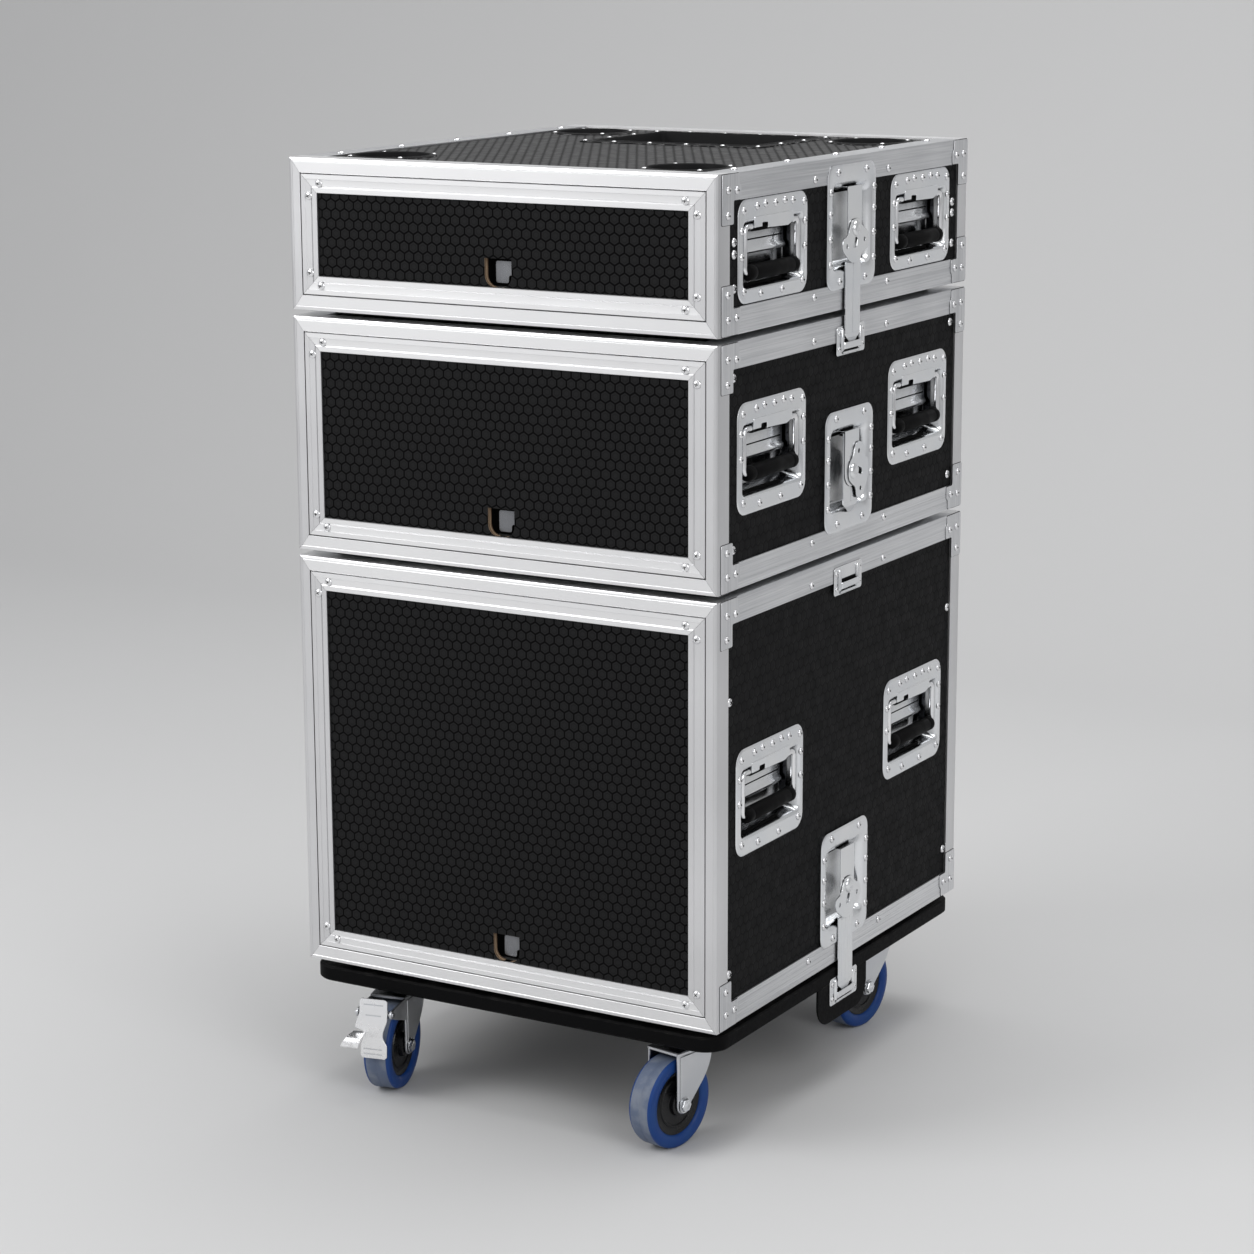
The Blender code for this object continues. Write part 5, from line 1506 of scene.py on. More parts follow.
@dataclass
class PlyShell:
    """The four laminated boards of one case with its dishes."""

    unit: CaseUnit
    boards: Shape = field(default_factory=Shape)
    hardware: Shape = field(default_factory=Shape)
    rivets: Fasteners = field(default_factory=Fasteners)

    def side_board(self, side: Side) -> None:
        """Adds one side board with the holes for its dishes."""
        unit = self.unit
        lift = RAIL_WALL + SEAT
        reach = HALF_DEPTH - END_FLANGE - SEAT
        outline = rectangle(2 * reach, unit.height - 2 * lift, y=unit.height / 2)
        dish = HandleDish(unit)
        holes = [
            [(x + offset, y + unit.handle_level) for x, y in dish.opening(-0.0012, 0.006)]
            for offset in (-HANDLE_OFFSET, HANDLE_OFFSET)
        ]
        latch = LatchDish(unit)
        centre = latch.base + latch.height / 2
        holes.append([(x, y + centre) for x, y in latch.opening(-0.0012, 0.008)])
        place = side_face(side, x=BOARD_FACE, z=unit.base)
        self.boards.cut_plate([outline, *holes], -BOARD, 0.0, place, SIDE_LAMINATE_PAINTED_SHADE)
        for offset in (-HANDLE_OFFSET, HANDLE_OFFSET):
            dish.build(self.hardware, self.rivets, side, offset)
        latch.build(self.hardware, self.rivets, side)
        self.panel_screws(side)

    def panel_screws(self, side: Side) -> None:
        """Adds the screws that hold the side board to the frame's inner ring."""
        unit = self.unit
        inner = HALF_DEPTH - 0.0385
        inset_along, levels = {
            "top": (inner, (0.1, 0.087, 0.05)), "middle": (inner, (0.045, 0.235)), "bottom": (0.286, (0.378, 0.062)),
        }[unit.name]
        place = side_face(side, x=BOARD_FACE, z=unit.base)
        spots = [(sign * inset_along, z) for sign in (-1, 1) for z in levels]
        self.rivets.add(Fastener.PANEL_SCREW, place, [(side.value * y, z) for y, z in spots])

    def level_board(self, top: bool) -> None:
        """Adds the top or the bottom board."""
        unit = self.unit
        lift = RAIL_WALL + SEAT
        reach = HALF_DEPTH - END_FLANGE - SEAT
        level = unit.height - lift - BOARD if top else lift
        loops = [rectangle(2 * (BOARD_FACE - BOARD), 2 * reach)]
        if top and unit.name == "top":
            loops += TopFittings.holes()
        place = level_face(z=unit.base + level)
        self.boards.cut_plate(loops, 0.0, BOARD, place, TOP_LAMINATE_PAINTED_SHEEN)

    def skid(self) -> None:
        """Adds the board under the case that keeps its rails off what is below."""
        unit = self.unit
        width = 2 * (HALF_WIDTH - RAIL_FLANGE - SEAT)
        length = 2 * (HALF_DEPTH - END_FLANGE - SEAT - 0.012)
        outline = filleted(rectangle(width, length), 0.006)
        self.boards.plate(
            outline, SEAT - UNIT_GAP, RAIL_WALL + SEAT, level_face(z=unit.base), TOP_LAMINATE_PAINTED_SHEEN, 0.0005
        )

    def build(self) -> None:
        """Builds and publishes the boards, the dishes and their rivets."""
        unit = self.unit
        for side in Side:
            self.side_board(side)
        for top in (True, False):
            self.level_board(top)
        self.skid()
        node = f"{unit.name}_shell"
        publish(f"{unit.name}_boards", self.boards.mesh("boards", 30), unit.body, [node])
        publish(f"{unit.name}_dishes", self.hardware.mesh("dishes", 40), unit.body, [node])
        self.rivets.piece(f"{unit.name}_shell_rivets", unit.body, [node])


# Castor cups and cable tray


@dataclass
class CableTray(PressedDish):
    """The cable tray: a flange with a raised bead round a deep pan."""

    width: float = 0.25
    length: float = 0.2
    flange: float = 0.016
    depth: float = 0.025
    corner: float = 0.01

    def opening(self, shrink: float, radius: float) -> Loop:
        """The mouth's outline, drawn in or let out by a distance."""
        less = 2 * (self.flange + shrink)
        return rounded_rectangle(self.width - less, self.length - less, radius)

    def outer(self, shrink: float) -> Loop:
        """The flange's outline, drawn in by a distance."""
        return rounded_rectangle(self.width - 2 * shrink, self.length - 2 * shrink, self.corner - shrink)

    def build(self, rivets: Fasteners, place: Matrix) -> None:
        """Makes the tray and adds its rivets."""
        d = self.depth
        rows = (
            (0.0075, 0.004, -d + 0.0016), (0.005, 0.006, -d + 0.0026), (0.0042, 0.007, -d + 0.006),
            (0.0006, 0.007, -0.0004), (0.0, 0.007, 0.0016), (-0.0008, 0.007, 0.0027), (-0.0022, 0.008, 0.003),
            (-0.0038, 0.009, 0.0027), (-0.0048, 0.01, 0.0018), (0.0015, 0.0018), (0.0003, 0.0014), (0.0, 0.0003),
            (-0.0012, 0.008, 0.0003), (0.003, 0.007, -d + 0.004), (0.006, 0.005, -d + 0.0002),
        )
        shape = Shape()
        self.press(shape, rows, place, BLACK_STEEL)
        publish("pressed_cable_tray", shape.mesh("tray", 35), "upper_units", ["cable_tray"])
        x, y = self.width / 2 - 0.0055, self.length / 2 - 0.0055
        spots = [(sx * x, v) for sx in (-1, 1) for v in (-y + 0.006, -0.03, 0.03, y - 0.006)]
        spots += [(u, sy * y) for sy in (-1, 1) for u in (-0.075, -0.025, 0.025, 0.075)]
        rivets.add(Fastener.SMALL_RIVET, place, spots, 0.0017)


@dataclass
class TopFittings:
    """The four castor cups and the cable tray in the top board."""

    cup_diameter: float = 0.104
    recess: float = 0.088
    depth: float = 0.01
    rivets: Fasteners = field(default_factory=Fasteners)

    @staticmethod
    def cups() -> dict[str, Point]:
        """Names of the cups and where they stand, about the case's middle."""
        front, rear = -HALF_DEPTH + 0.085, HALF_DEPTH - 0.1
        return {
            "front_left": (-0.195, front), "front_right": (0.195, front),
            "rear_left": (-0.195, rear), "rear_right": (0.195, rear),
        }

    @staticmethod
    def tray_centre() -> float:
        """Where the middle of the tray stands along the case."""
        return HALF_DEPTH - 0.056 - 0.1

    @classmethod
    def holes(cls) -> list[Loop]:
        """Holes through the top board."""
        loops = [arc(x, y, 0.0458, 0, 360, 40)[:-1] for x, y in cls.cups().values()]
        loops.append(rectangle(0.2216, 0.1716, y=cls.tray_centre()))
        return loops

    def cup(self, name: str, spot: Point, level: float) -> None:
        """Makes one castor cup: a rolled rim round a shallow bowl."""
        rim, bowl, d = self.cup_diameter / 2, self.recess / 2, self.depth
        profile = [
            (0.0, -d + 0.0006), (0.01, -d + 0.0006), (0.0115, -d), (bowl - 0.006, -d), (bowl - 0.0025, -d + 0.0012),
            (bowl - 0.0008, -d + 0.0045), (bowl - 0.0004, 0.0006), (bowl + 0.0004, 0.0019), (bowl + 0.0018, 0.0025),
            (bowl + 0.0034, 0.0021), (rim - 0.0024, 0.0016), (rim - 0.0006, 0.0011), (rim, 0.0004),
            (bowl + 0.0014, 0.0003), (bowl + 0.0012, -d + 0.002), (bowl - 0.004, -d - 0.0014), (0.0, -d - 0.0014),
        ]
        shape = Shape()
        place = level_face(*spot, level)
        shape.turned(profile, place, BLACK_STEEL, 64)
        node = f"castor_cup_{name}"
        publish(f"pressed_{node}", shape.mesh("cup", 40), "upper_units", [node])
        self.rivets.add(Fastener.SMALL_RIVET, place, arc(0.0, 0.0, 0.0489, 45, 315, 3), 0.0015)

    def build(self, unit: CaseUnit) -> None:
        """Builds and publishes the cups, the tray and their rivets."""
        level = unit.base + unit.height - RAIL_WALL - SEAT
        for name, spot in self.cups().items():
            self.cup(name, spot, level)
        CableTray().build(self.rivets, level_face(y=self.tray_centre(), z=level))
        self.rivets.piece("top_fitting_rivets", "upper_units")


# Doors


@dataclass
class LiftOffDoor:
    """A door: a grooved mitred frame, a laminated panel and the pocket behind its finger hole."""

    unit: CaseUnit
    end: End
    gap: float = 0.001
    frame: float = 0.0215
    back: float = 0.0237
    setback: float = 0.0035
    panel: float = 0.007
    finger_width: float = 0.035
    finger_height: float = 0.032
    finger_corner: float = 0.013

    @property
    def half_width(self) -> float:
        """Half width over the door's frame."""
        return HALF_WIDTH - SIDE_STRIP - self.gap

    @property
    def half_height(self) -> float:
        """Half height over the door's frame."""
        return self.unit.height / 2 - TOP_STRIP - self.gap

    def finger_hole(self, grow: float = 0.0) -> Loop:
        """Outline of the finger hole: square above, rounded below."""
        half, r = self.finger_width / 2 + grow, self.finger_corner
        low = -self.half_height + self.frame - grow
        return [
            *arc(-half + r, low + r, r, 180, 270, 6), *arc(half - r, low + r, r, 270, 360, 6),
            (half, low + self.finger_height + 2 * grow), (-half, low + self.finger_height + 2 * grow),
        ]

    def build(self) -> None:
        """Builds and publishes the frame, the panel, the pocket and the screws."""
        name = f"{self.unit.name}_{self.end.word}_door"
        place = end_face(self.end, z=self.unit.base + self.unit.height / 2)
        metal = Shape()
        bands = ((0.0, 0.0062, -0.0001), (0.0072, 0.014, -0.0009), (0.015, self.frame, -0.0005))
        profile = [(0.0, -self.back), (0.0, -0.0008)]
        for start, stop, rise in bands:
            profile += [(start + 0.0005, rise), (stop - 0.0005, rise), (stop, rise - 0.0007)]
        profile.append((self.frame, -self.back))
        section = [(inward, inward, depth) for inward, depth in profile]
        bars(metal, section, self.half_width, self.half_height, place, MITRE_GAP, POLISHED_LIT_AND_SHADED)
        publish(f"{name}_frame", metal.mesh("frame", 20), name, [name])
        wood = Shape()
        width = 2 * (self.half_width - self.frame) + 0.002
        height = 2 * (self.half_height - self.frame) + 0.002
        outlines = [rectangle(width, height), self.finger_hole()]
        low, high = -self.setback - self.panel, -self.setback
        wood.cut_plate(outlines, low, high, place, FRONT_LAMINATE, cut_finish=PLY_EDGE)
        publish(f"{name}_panel", wood.mesh("panel", 30), name, [name])
        self.add_pocket(name, place)
        screws = Fasteners()
        for sx, sy in QUADRANTS:
            x, y = sx * (self.half_width - 0.0105), sy * (self.half_height - 0.0105)
            screws.add(Fastener.DOOR_SCREW, place, [(x, y - sy * 0.0145), (x - sx * 0.0145, y)], -0.0012)
        screws.piece(f"{name}_screws", name, [name])

    def add_pocket(self, name: str, place: Matrix) -> None:
        """Adds the steel pocket behind the finger hole, open towards the fingers, drawn in painted shade; the steel
        plate in it is zinc darkened as painted shade.
        """
        low = -self.half_height + self.frame
        back = -self.setback - self.panel
        middle = low + self.finger_height / 2

        def outline(shrink: float, radius: float) -> Loop:
            return rounded_rectangle(
                self.finger_width + 0.008 - 2 * shrink, self.finger_height + 0.008 - 2 * shrink, radius,
                y=middle, steps=3,
            )

        loops = rows_of(
            (outline(0.0022, 0.001), back - 0.0082), (outline(0.0006, 0.002), back - 0.007),
            (outline(0.0, 0.002), back - 0.0002), (outline(-0.0014, 0.003), back - 0.0002),
            (outline(-0.0014, 0.003), back - 0.008), (outline(0.001, 0.002), back - 0.0095),
        )
        pocket = Shape()
        pocket.loft(loops, place, PAINTED_SHADE)
        # The notched plate behind the hole is zinc darkened as painted shade.
        half, top = self.finger_width / 2, low + self.finger_height - 0.003
        corners = [
            (-half * 0.5, low + 0.004), (half - 0.009, low + 0.004), (half - 0.009, low + 0.013),
            (half + 0.003, low + 0.013), (half + 0.003, top), (-half * 0.5, top),
        ]
        pocket.plate(filleted(corners, 0.003), back - 0.004, back - 0.0022, place, ZINC_SHADE, 0.0003)
        publish(f"{name}_pocket", pocket.mesh("pocket", 30), name, [name])


# Handles


@dataclass
class SprungHandle:
    """A bent bail with a rubber grip, hinged in its dish."""

    unit: CaseUnit
    side: Side
    end: End
    half: float = 0.062
    drop: float = 0.05
    wire: float = 0.0066
    pin: float = 0.016
    sink: float = 0.0045
    grip_length: float = 0.114
    grip_diameter: float = 0.0176

    def build(self) -> None:
        """Builds and publishes the bail and its grip."""
        unit = self.unit
        name = f"{unit.name}_{self.side.word}_{self.end.word}_handle"
        level = unit.base + unit.handle_level + unit.handle_height / 2 - HANDLE_HEAD - self.sink
        place = side_face(self.side, x=HALF_WIDTH - self.sink, y=self.end.value * HANDLE_OFFSET, z=level)
        pin, half, drop = self.half - self.pin, self.half, self.drop
        path = [(-pin, 0), (-half, 0), (-half, -drop), (half, -drop), (half, 0), (pin, 0)]
        points = [place @ Vector((x, y, 0)) for x, y in path]
        wire_piece(f"{name}_bail", points, self.wire, 0.0065, name, [name])
        grip = Shape()
        r, length = self.grip_diameter / 2, self.grip_length
        profile = [(0.0, 0.0), (r * 0.62, 0.0), (r * 0.66, 0.0006)]
        profile += [(r - 0.0022, 0.0007), (r - 0.0006, 0.0016), (r, 0.0032)]
        for ring in (0.0125, length - 0.0125):
            profile += [(r, ring - 0.0007), (r - 0.0005, ring), (r, ring + 0.0007)]
        profile += [(radius, length - height) for radius, height in reversed(profile[:6])]
        along = place @ crosswise(-length / 2, -drop, 0)
        grip.turned(profile, along, GRIP_RUBBER, 28)
        publish(f"{name}_grip", grip.mesh("grip", 50), name, [name])


# Latches


@dataclass
class ButterflyLatch:
    """The moving half of a latch: the turning wing with its claw, and the flat strap."""

    unit: CaseUnit
    side: Side
    strap_width: float = 0.038
    strap_top: float = 0.054
    strap_reach: float = 0.0335
    tongue_width: float = 0.028
    tongue_tip: float = 0.012
    tongue_reach: float = 0.0395
    travel: float = 0.084

    def wing_outline(self) -> Loop:
        """The claw: two lobes round a notch, drawn hanging down from the hub."""
        corners = [
            (-0.009, 0.011), (0.009, 0.011), (0.016, 0.001), (0.029, -0.003), (0.0345, -0.013), (0.029, -0.027),
            (0.014, -0.028), (0.012, -0.038), (-0.008, -0.0395), (-0.021, -0.033), (-0.034, -0.023),
            (-0.0345, -0.01), (-0.021, -0.008), (-0.016, 0.001),
        ]
        return filleted(corners, 0.0065, 3)

    def build(self) -> None:
        """Builds and publishes the wing and the strap."""
        self.build_wing()
        self.build_strap()

    def build_wing(self) -> None:
        """The wing, its three holes and the domed hub."""
        node = f"{self.unit.name}_{self.side.word}_latch_wing"
        place = side_face(self.side, x=HALF_WIDTH, z=self.unit.base + LATCH_HUB)
        if not self.unit.latched:
            place = place @ Matrix.Rotation(math.radians(90), 4, "Z")
        low, high = LAYERS.arm + LAYERS.gap, LAYERS.wing
        holes = [arc(x, y, r, 0, 360, 14)[:-1] for x, y, r in ((-0.023, -0.019, 0.0028), (0.022, -0.014, 0.0028))]
        notch = filleted([(-0.0075, -0.0215), (0.0005, -0.0225), (0.0045, -0.0105), (-0.003, -0.0095)], 0.003)
        shape = Shape()
        shape.cut_plate([self.wing_outline(), *holes, notch], low, high, place, ZINC, 0.0003)
        hub = [
            (0.0, 0.0026), (0.0026, 0.0026), (0.0032, 0.0031), (0.0056, 0.003), (0.0078, 0.0018), (0.009, 0.0),
            (0.009, -0.0004), (0.0, -0.0004),
        ]
        shape.turned(hub, place @ shift(z=high), ZINC, 28)
        publish(f"{node}_claw", shape.mesh("wing", 35), node, [node])

    def build_strap(self) -> None:
        """The strap, grooved below and folded over at its upper end."""
        node = f"{self.unit.name}_{self.side.word}_latch_hook"
        lift = 0.0 if self.unit.latched else self.travel
        place = side_face(self.side, x=HALF_WIDTH, z=self.unit.base + lift)
        half, top, low = self.strap_width / 2, self.strap_top, -self.strap_reach
        tongue = self.tongue_width / 2
        inner, outer = LAYERS.flange + LAYERS.gap, LAYERS.strap
        shape = Shape()
        grooves = (0.0105, 0.0, -0.0105) if self.unit.name == "bottom" else (0.0,)
        across = [(-half, inner), (half, inner), (half, outer - 0.0003), (half - 0.0003, outer)]
        for groove in grooves:
            across += [(groove + 0.001, outer), (groove, outer - 0.0008), (groove - 0.001, outer)]
        across += [(-half + 0.0003, outer), (-half, outer - 0.0003)]
        levels = (low + 0.0056, top - 0.0004)
        shape.loft([[(x, y, z) for x, z in across] for y in levels], place, ZINC)
        tip = [
            (-half, low + 0.0058), (-half, low + 0.004), (-tongue, low), (tongue, low),
            (half, low + 0.004), (half, low + 0.0058),
        ]
        shape.plate(filleted(tip, 0.0008), inner, outer - 0.0001, place, ZINC, 0.0003)
        tip_half = self.tongue_tip / 2
        end = [
            (-tongue, low + 0.0008), (-tip_half, -self.tongue_reach), (tip_half, -self.tongue_reach),
            (tongue, low + 0.0008),
        ]
        shape.plate(end, inner, outer - 0.0004, place, ZINC_FORK, 0.0003)
        fold = [(y + top - 0.0016, z) for y, z in arc(0.0, inner - 0.0012, 0.0026, -90, 90, 6)]
        fold += [(top - 0.0016, inner - 0.0052), (top - 0.003, inner - 0.0052), (top - 0.003, outer)]
        shape.bar([(y, min(z, outer)) for y, z in fold], 0.001 - half, half - 0.001, place, ZINC)
        publish(f"{node}_strap", shape.mesh("strap", 30), node, [node])


# Dolly and castors


@dataclass
class Dolly:
    """The plywood board on four castors, with a tab and a keeper at each side."""

    thickness: float = 0.018
    corner: float = 0.03
    tab_width: float = 0.13
    tab_drop: float = 0.048
    tab_corner: float = 0.028
    castor_plate: Point = (0.1, 0.085)
    plate_wall: float = 0.0025
    race: float = 0.06
    race_height: float = 0.0075

    @staticmethod
    def castors() -> dict[str, Point]:
        """Names of the castors and where their swivel axes stand, about the case's middle."""
        front, rear = -HALF_DEPTH + 0.065, HALF_DEPTH - 0.097
        return {
            "front_left": (-0.188, front), "front_right": (0.212, front),
            "rear_left": (-0.188, rear), "rear_right": (0.212, rear),
        }

    def build(self) -> None:
        """Builds and publishes the board, its tabs, the keepers and the castors' plates."""
        wood, metal, rivets = Shape(), Shape(), Fasteners()
        outline = rounded_rectangle(2 * HALF_WIDTH, 2 * HALF_DEPTH, self.corner, steps=10)
        wood.plate(outline, CASTOR_HEIGHT, CASTOR_HEIGHT + self.thickness, level_face(), BLACK_PLY, 0.0018)
        half, r = self.tab_width / 2, self.tab_corner
        low = CASTOR_HEIGHT - self.tab_drop
        for side in Side:
            tab = [
                *arc(-half + r, low + r, r, 180, 270, 8), *arc(half - r, low + r, r, 270, 360, 8),
                (half, CASTOR_HEIGHT + 0.001), (-half, CASTOR_HEIGHT + 0.001),
            ]
            wood.plate(tab, -0.003, -0.0001, side_face(side, x=HALF_WIDTH), BLACK_PLY, 0.0006)
            Keeper().build(metal, rivets, side, STACK_BASE - UNIT_GAP)
        for x, y in self.castors().values():
            self.top_plate(metal, rivets, x, y)
        publish("dolly_ply_board", wood.mesh("board", 35), "root", ["dolly_board"])
        publish("dolly_hardware", metal.mesh("hardware", 30), "root", ["dolly_board"])
        rivets.piece("dolly_bolts", "root", ["dolly_board"])

    def top_plate(self, metal: Shape, bolts: Fasteners, x: float, y: float) -> None:
        """Adds one castor's top plate, its bolts and the swivel race."""
        place = level_face(x, y, CASTOR_HEIGHT)
        metal.plate(rounded_rectangle(*self.castor_plate, 0.008), -self.plate_wall, 0.0005, place, ZINC_FORK, 0.0005)
        under = place @ shift(z=-self.plate_wall) @ Matrix.Rotation(math.pi, 4, "X")
        bolts.add(Fastener.PANEL_SCREW, under, [(sx * 0.04, sy * 0.032) for sx, sy in QUADRANTS])
        r, h = self.race / 2, self.race_height
        profile = [
            (0.0, h), (r - 0.006, h), (r - 0.004, h - 0.0005), (r - 0.0008, h * 0.45), (r, h * 0.2), (r - 0.0003, 0.0),
            (r - 0.003, -0.0005), (0.0, -0.0005),
        ]
        metal.turned(profile, under @ shift(z=-0.0001), ZINC_FORK, 40)


@dataclass
class Castor:
    """One swivel castor at its rest angle."""

    corner: str
    spot: Point
    swivel: float
    braked: bool
    trail: float = 0.04
    radius: float = 0.0535
    width: float = 0.034
    hub_width: float = 0.038
    fork_wall: float = 0.003
    crown: float = 0.024
    crown_level: float = 0.1177
    cover_gap: float = 0.006
    bend: float = 175.0
    cover_end: float = 186.0
    pin_rise: float = 0.05
    ear_drop: float = 0.024
    pin: float = 0.005

    def place(self) -> Matrix:
        """The swivel axis, turned to its rest angle; the wheel trails towards local -Y."""
        return level_face(*self.spot) @ Matrix.Rotation(math.radians(self.swivel), 4, "Z")

    def axle(self) -> Matrix:
        """The wheel's centre, with local Z along the axle."""
        return self.place() @ crosswise(0.0, -self.trail, self.radius)

    def build(self) -> None:
        """Builds and publishes the fork, the wheel and, where there is one, the brake."""
        self.build_fork()
        self.build_wheel()
        if self.braked:
            self.build_pedal()

    def build_fork(self) -> None:
        """The pressed fork: crown, two ribbed legs, axle and nuts."""
        shape, place = Shape(), self.place()
        inner = self.hub_width / 2 + 0.0008
        outer = inner + self.fork_wall
        front = -self.trail - 0.011
        top = self.crown_level
        crown = [(outer, front), *arc(0.0, 0.0, self.crown + 0.003, 0, 180, 20), (-outer, front)]
        shape.plate(crown, top - 0.005, top, place, ZINC_FORK, 0.0012)
        boss = 0.011
        sweep = (
            (0.018, 0.0045), (0.026, 0.0125), (0.034, 0.0205), (0.0407, 0.0288), (0.0452, 0.0362), (0.048, 0.0435),
        )
        leg = [
            *arc(-self.trail, self.radius, boss, 180, 345, 12),
            *((along - self.trail, up + self.radius) for along, up in sweep),
            (0.0125, top - 0.0012), (-self.trail - boss, top - 0.0012),
        ]
        for sign in (-1, 1):
            face = place @ crosswise(sign * inner, 0, 0)
            low, high = (0.0, self.fork_wall) if sign > 0 else (-self.fork_wall, 0.0)
            shape.plate(leg, low, high, face, ZINC_FORK, 0.0009)
            rise = (high, high + 0.0009) if sign > 0 else (low - 0.0009, low)
            rib = inset(leg, 0.0042)
            shape.plate(rib, min(rise) - 0.0004, max(rise), face, ZINC_FORK, 0.0006)
            washer = [(0.0, 0.0), (0.0095, 0.0), (0.0095, 0.0008), (0.0, 0.0008)]
            outward = self.axle() @ shift(z=sign * (outer + 0.0007))
            outward = outward if sign > 0 else outward @ Matrix.Rotation(math.pi, 4, "X")
            shape.turned(washer, outward, ZINC, 24)
            shape.turned([(a * 0.88, b + 0.0007) for a, b in washer], outward, ZINC, 24)
            nut = arc(0.0, 0.0, 0.0078, 0, 360, 6)[:-1]
            shape.plate(nut, 0.0013, 0.004, outward, ZINC, 0.0005)
            bolt = [(0.0, 0.0), (0.0042, 0.0), (0.0042, 0.004), (0.0034, 0.0045), (0.0, 0.0045)]
            shape.turned(bolt, outward, ZINC, 16)
        if self.braked:
            self.add_ears(shape, place, inner, outer)
        axle = [(0.0, -outer), (0.005, -outer), (0.005, outer), (0.0, outer)]
        shape.turned(axle, self.axle(), ZINC, 20)
        kingpin = [(0.0, 0.0), (0.009, 0.0), (0.0085, -0.0035), (0.005, -0.005), (0.0, -0.005)]
        shape.turned(kingpin, place @ shift(z=top - 0.005), ZINC, 24)
        node = f"{self.corner}_castor_fork"
        publish(f"{node}_pressing", shape.mesh("fork", 35), node, [node])

    def build_wheel(self) -> None:
        """The tyre with its worn tread, and the ringed core with its bearing."""
        node = f"{self.corner}_castor_wheel"
        r, half, hub = self.radius, self.width / 2, self.hub_width / 2
        tyre = Shape()
        axle = self.axle()
        side = [(0.038, half - 0.0042), (0.04, half - 0.0012), (0.046, half - 0.0002), (0.05, half - 0.0005)]
        shoulder = [(0.0518, half - 0.0012), (r - 0.0008, half - 0.0024), (r, half - 0.0042)]
        tread = [(r, half - 0.0042), (r, 0.0008), (r - 0.0005, 0.0)]
        for sign in (1, -1):
            tyre.turned([(a, sign * b) for a, b in side + shoulder], axle, TYRE_BLUE, 72)
            tyre.turned([(a, sign * b) for a, b in tread], axle, TYRE_TREAD, 72)
        tyre.turned([(0.038, half - 0.0042), (0.038, -half + 0.0042)], axle, TYRE_BLUE, 72)
        mesh = tyre.mesh("tyre", 60)
        work = bmesh.new()
        work.from_mesh(mesh)
        bmesh.ops.remove_doubles(work, verts=work.verts, dist=MERGE_DISTANCE)
        bmesh.ops.recalc_face_normals(work, faces=work.faces)
        work.to_mesh(mesh)
        work.free()
        publish(f"{node}_tyre", mesh, node, [node])
        core = Shape()
        recess = half - 0.005
        right = [
            (0.0054, hub), (0.012, hub), (0.0142, hub - 0.0012), (0.015, recess + 0.0008), (0.0165, recess),
            (0.0262, recess), (0.027, recess + 0.0012), (0.0288, recess + 0.0012), (0.0296, recess),
            (0.0345, recess), (0.0358, recess + 0.001), (0.0379, recess + 0.001),
        ]
        loop = right + [(a, -b) for a, b in reversed(right)]
        core.turned(loop, axle, WHEEL_CORE, 56, ring=True)
        publish(f"{node}_core", core.mesh("core", 40), node, [node])

    def cover_line(self, along: float, lift: float) -> Point:
        """A point of the brake cover's section, seen from the side and about the axle.

        Args:
            along: how far up from the cover's lower end, measured along its inner face.
            lift: how far out from that face.

        Returns:
            The point, as (along the trail, up).
        """
        bend, radius = math.radians(self.bend), self.radius + self.cover_gap
        bow = (math.radians(self.cover_end) - bend) * radius
        if along < bow:
            angle = math.radians(self.cover_end) - along / radius
            return (radius + lift) * math.cos(angle), (radius + lift) * math.sin(angle)
        out = Vector((math.cos(bend), math.sin(bend)))
        spot = out * (radius + lift) + Vector((out.y, -out.x)) * (along - bow)
        return spot.x, spot.y

    def pin_spot(self) -> Point:
        """Where the brake's pin stands about the axle."""
        bow = math.radians(self.cover_end - self.bend) * (self.radius + self.cover_gap)
        return self.cover_line(bow + self.pin_rise, -self.pin / 2 - 0.0005)

    def add_ears(self, shape: Shape, place: Matrix, inner: float, outer: float) -> None:
        """The lugs of the fork that carry the brake's pin, and the pin."""
        along, up = self.pin_spot()
        y, z = along - self.trail, up + self.radius
        lug = arc(y, z, self.pin, 90, 270, 8)
        lug += [(-self.trail, z - self.ear_drop), (-self.trail, self.crown_level - 0.0016)]
        for sign in (-1, 1):
            face = place @ crosswise(sign * (inner + outer) / 2, 0, 0)
            half = (outer - inner) / 2 - 0.0001
            shape.plate(lug, -half, half, face, ZINC_FORK, 0.0005)
        across = place @ crosswise(0.0, y, z)
        r, reach = self.pin / 2, outer + 0.0012
        shape.turned([(0.0, -reach), (r, -reach), (r, reach), (0.0, reach)], across, ZINC, 20)

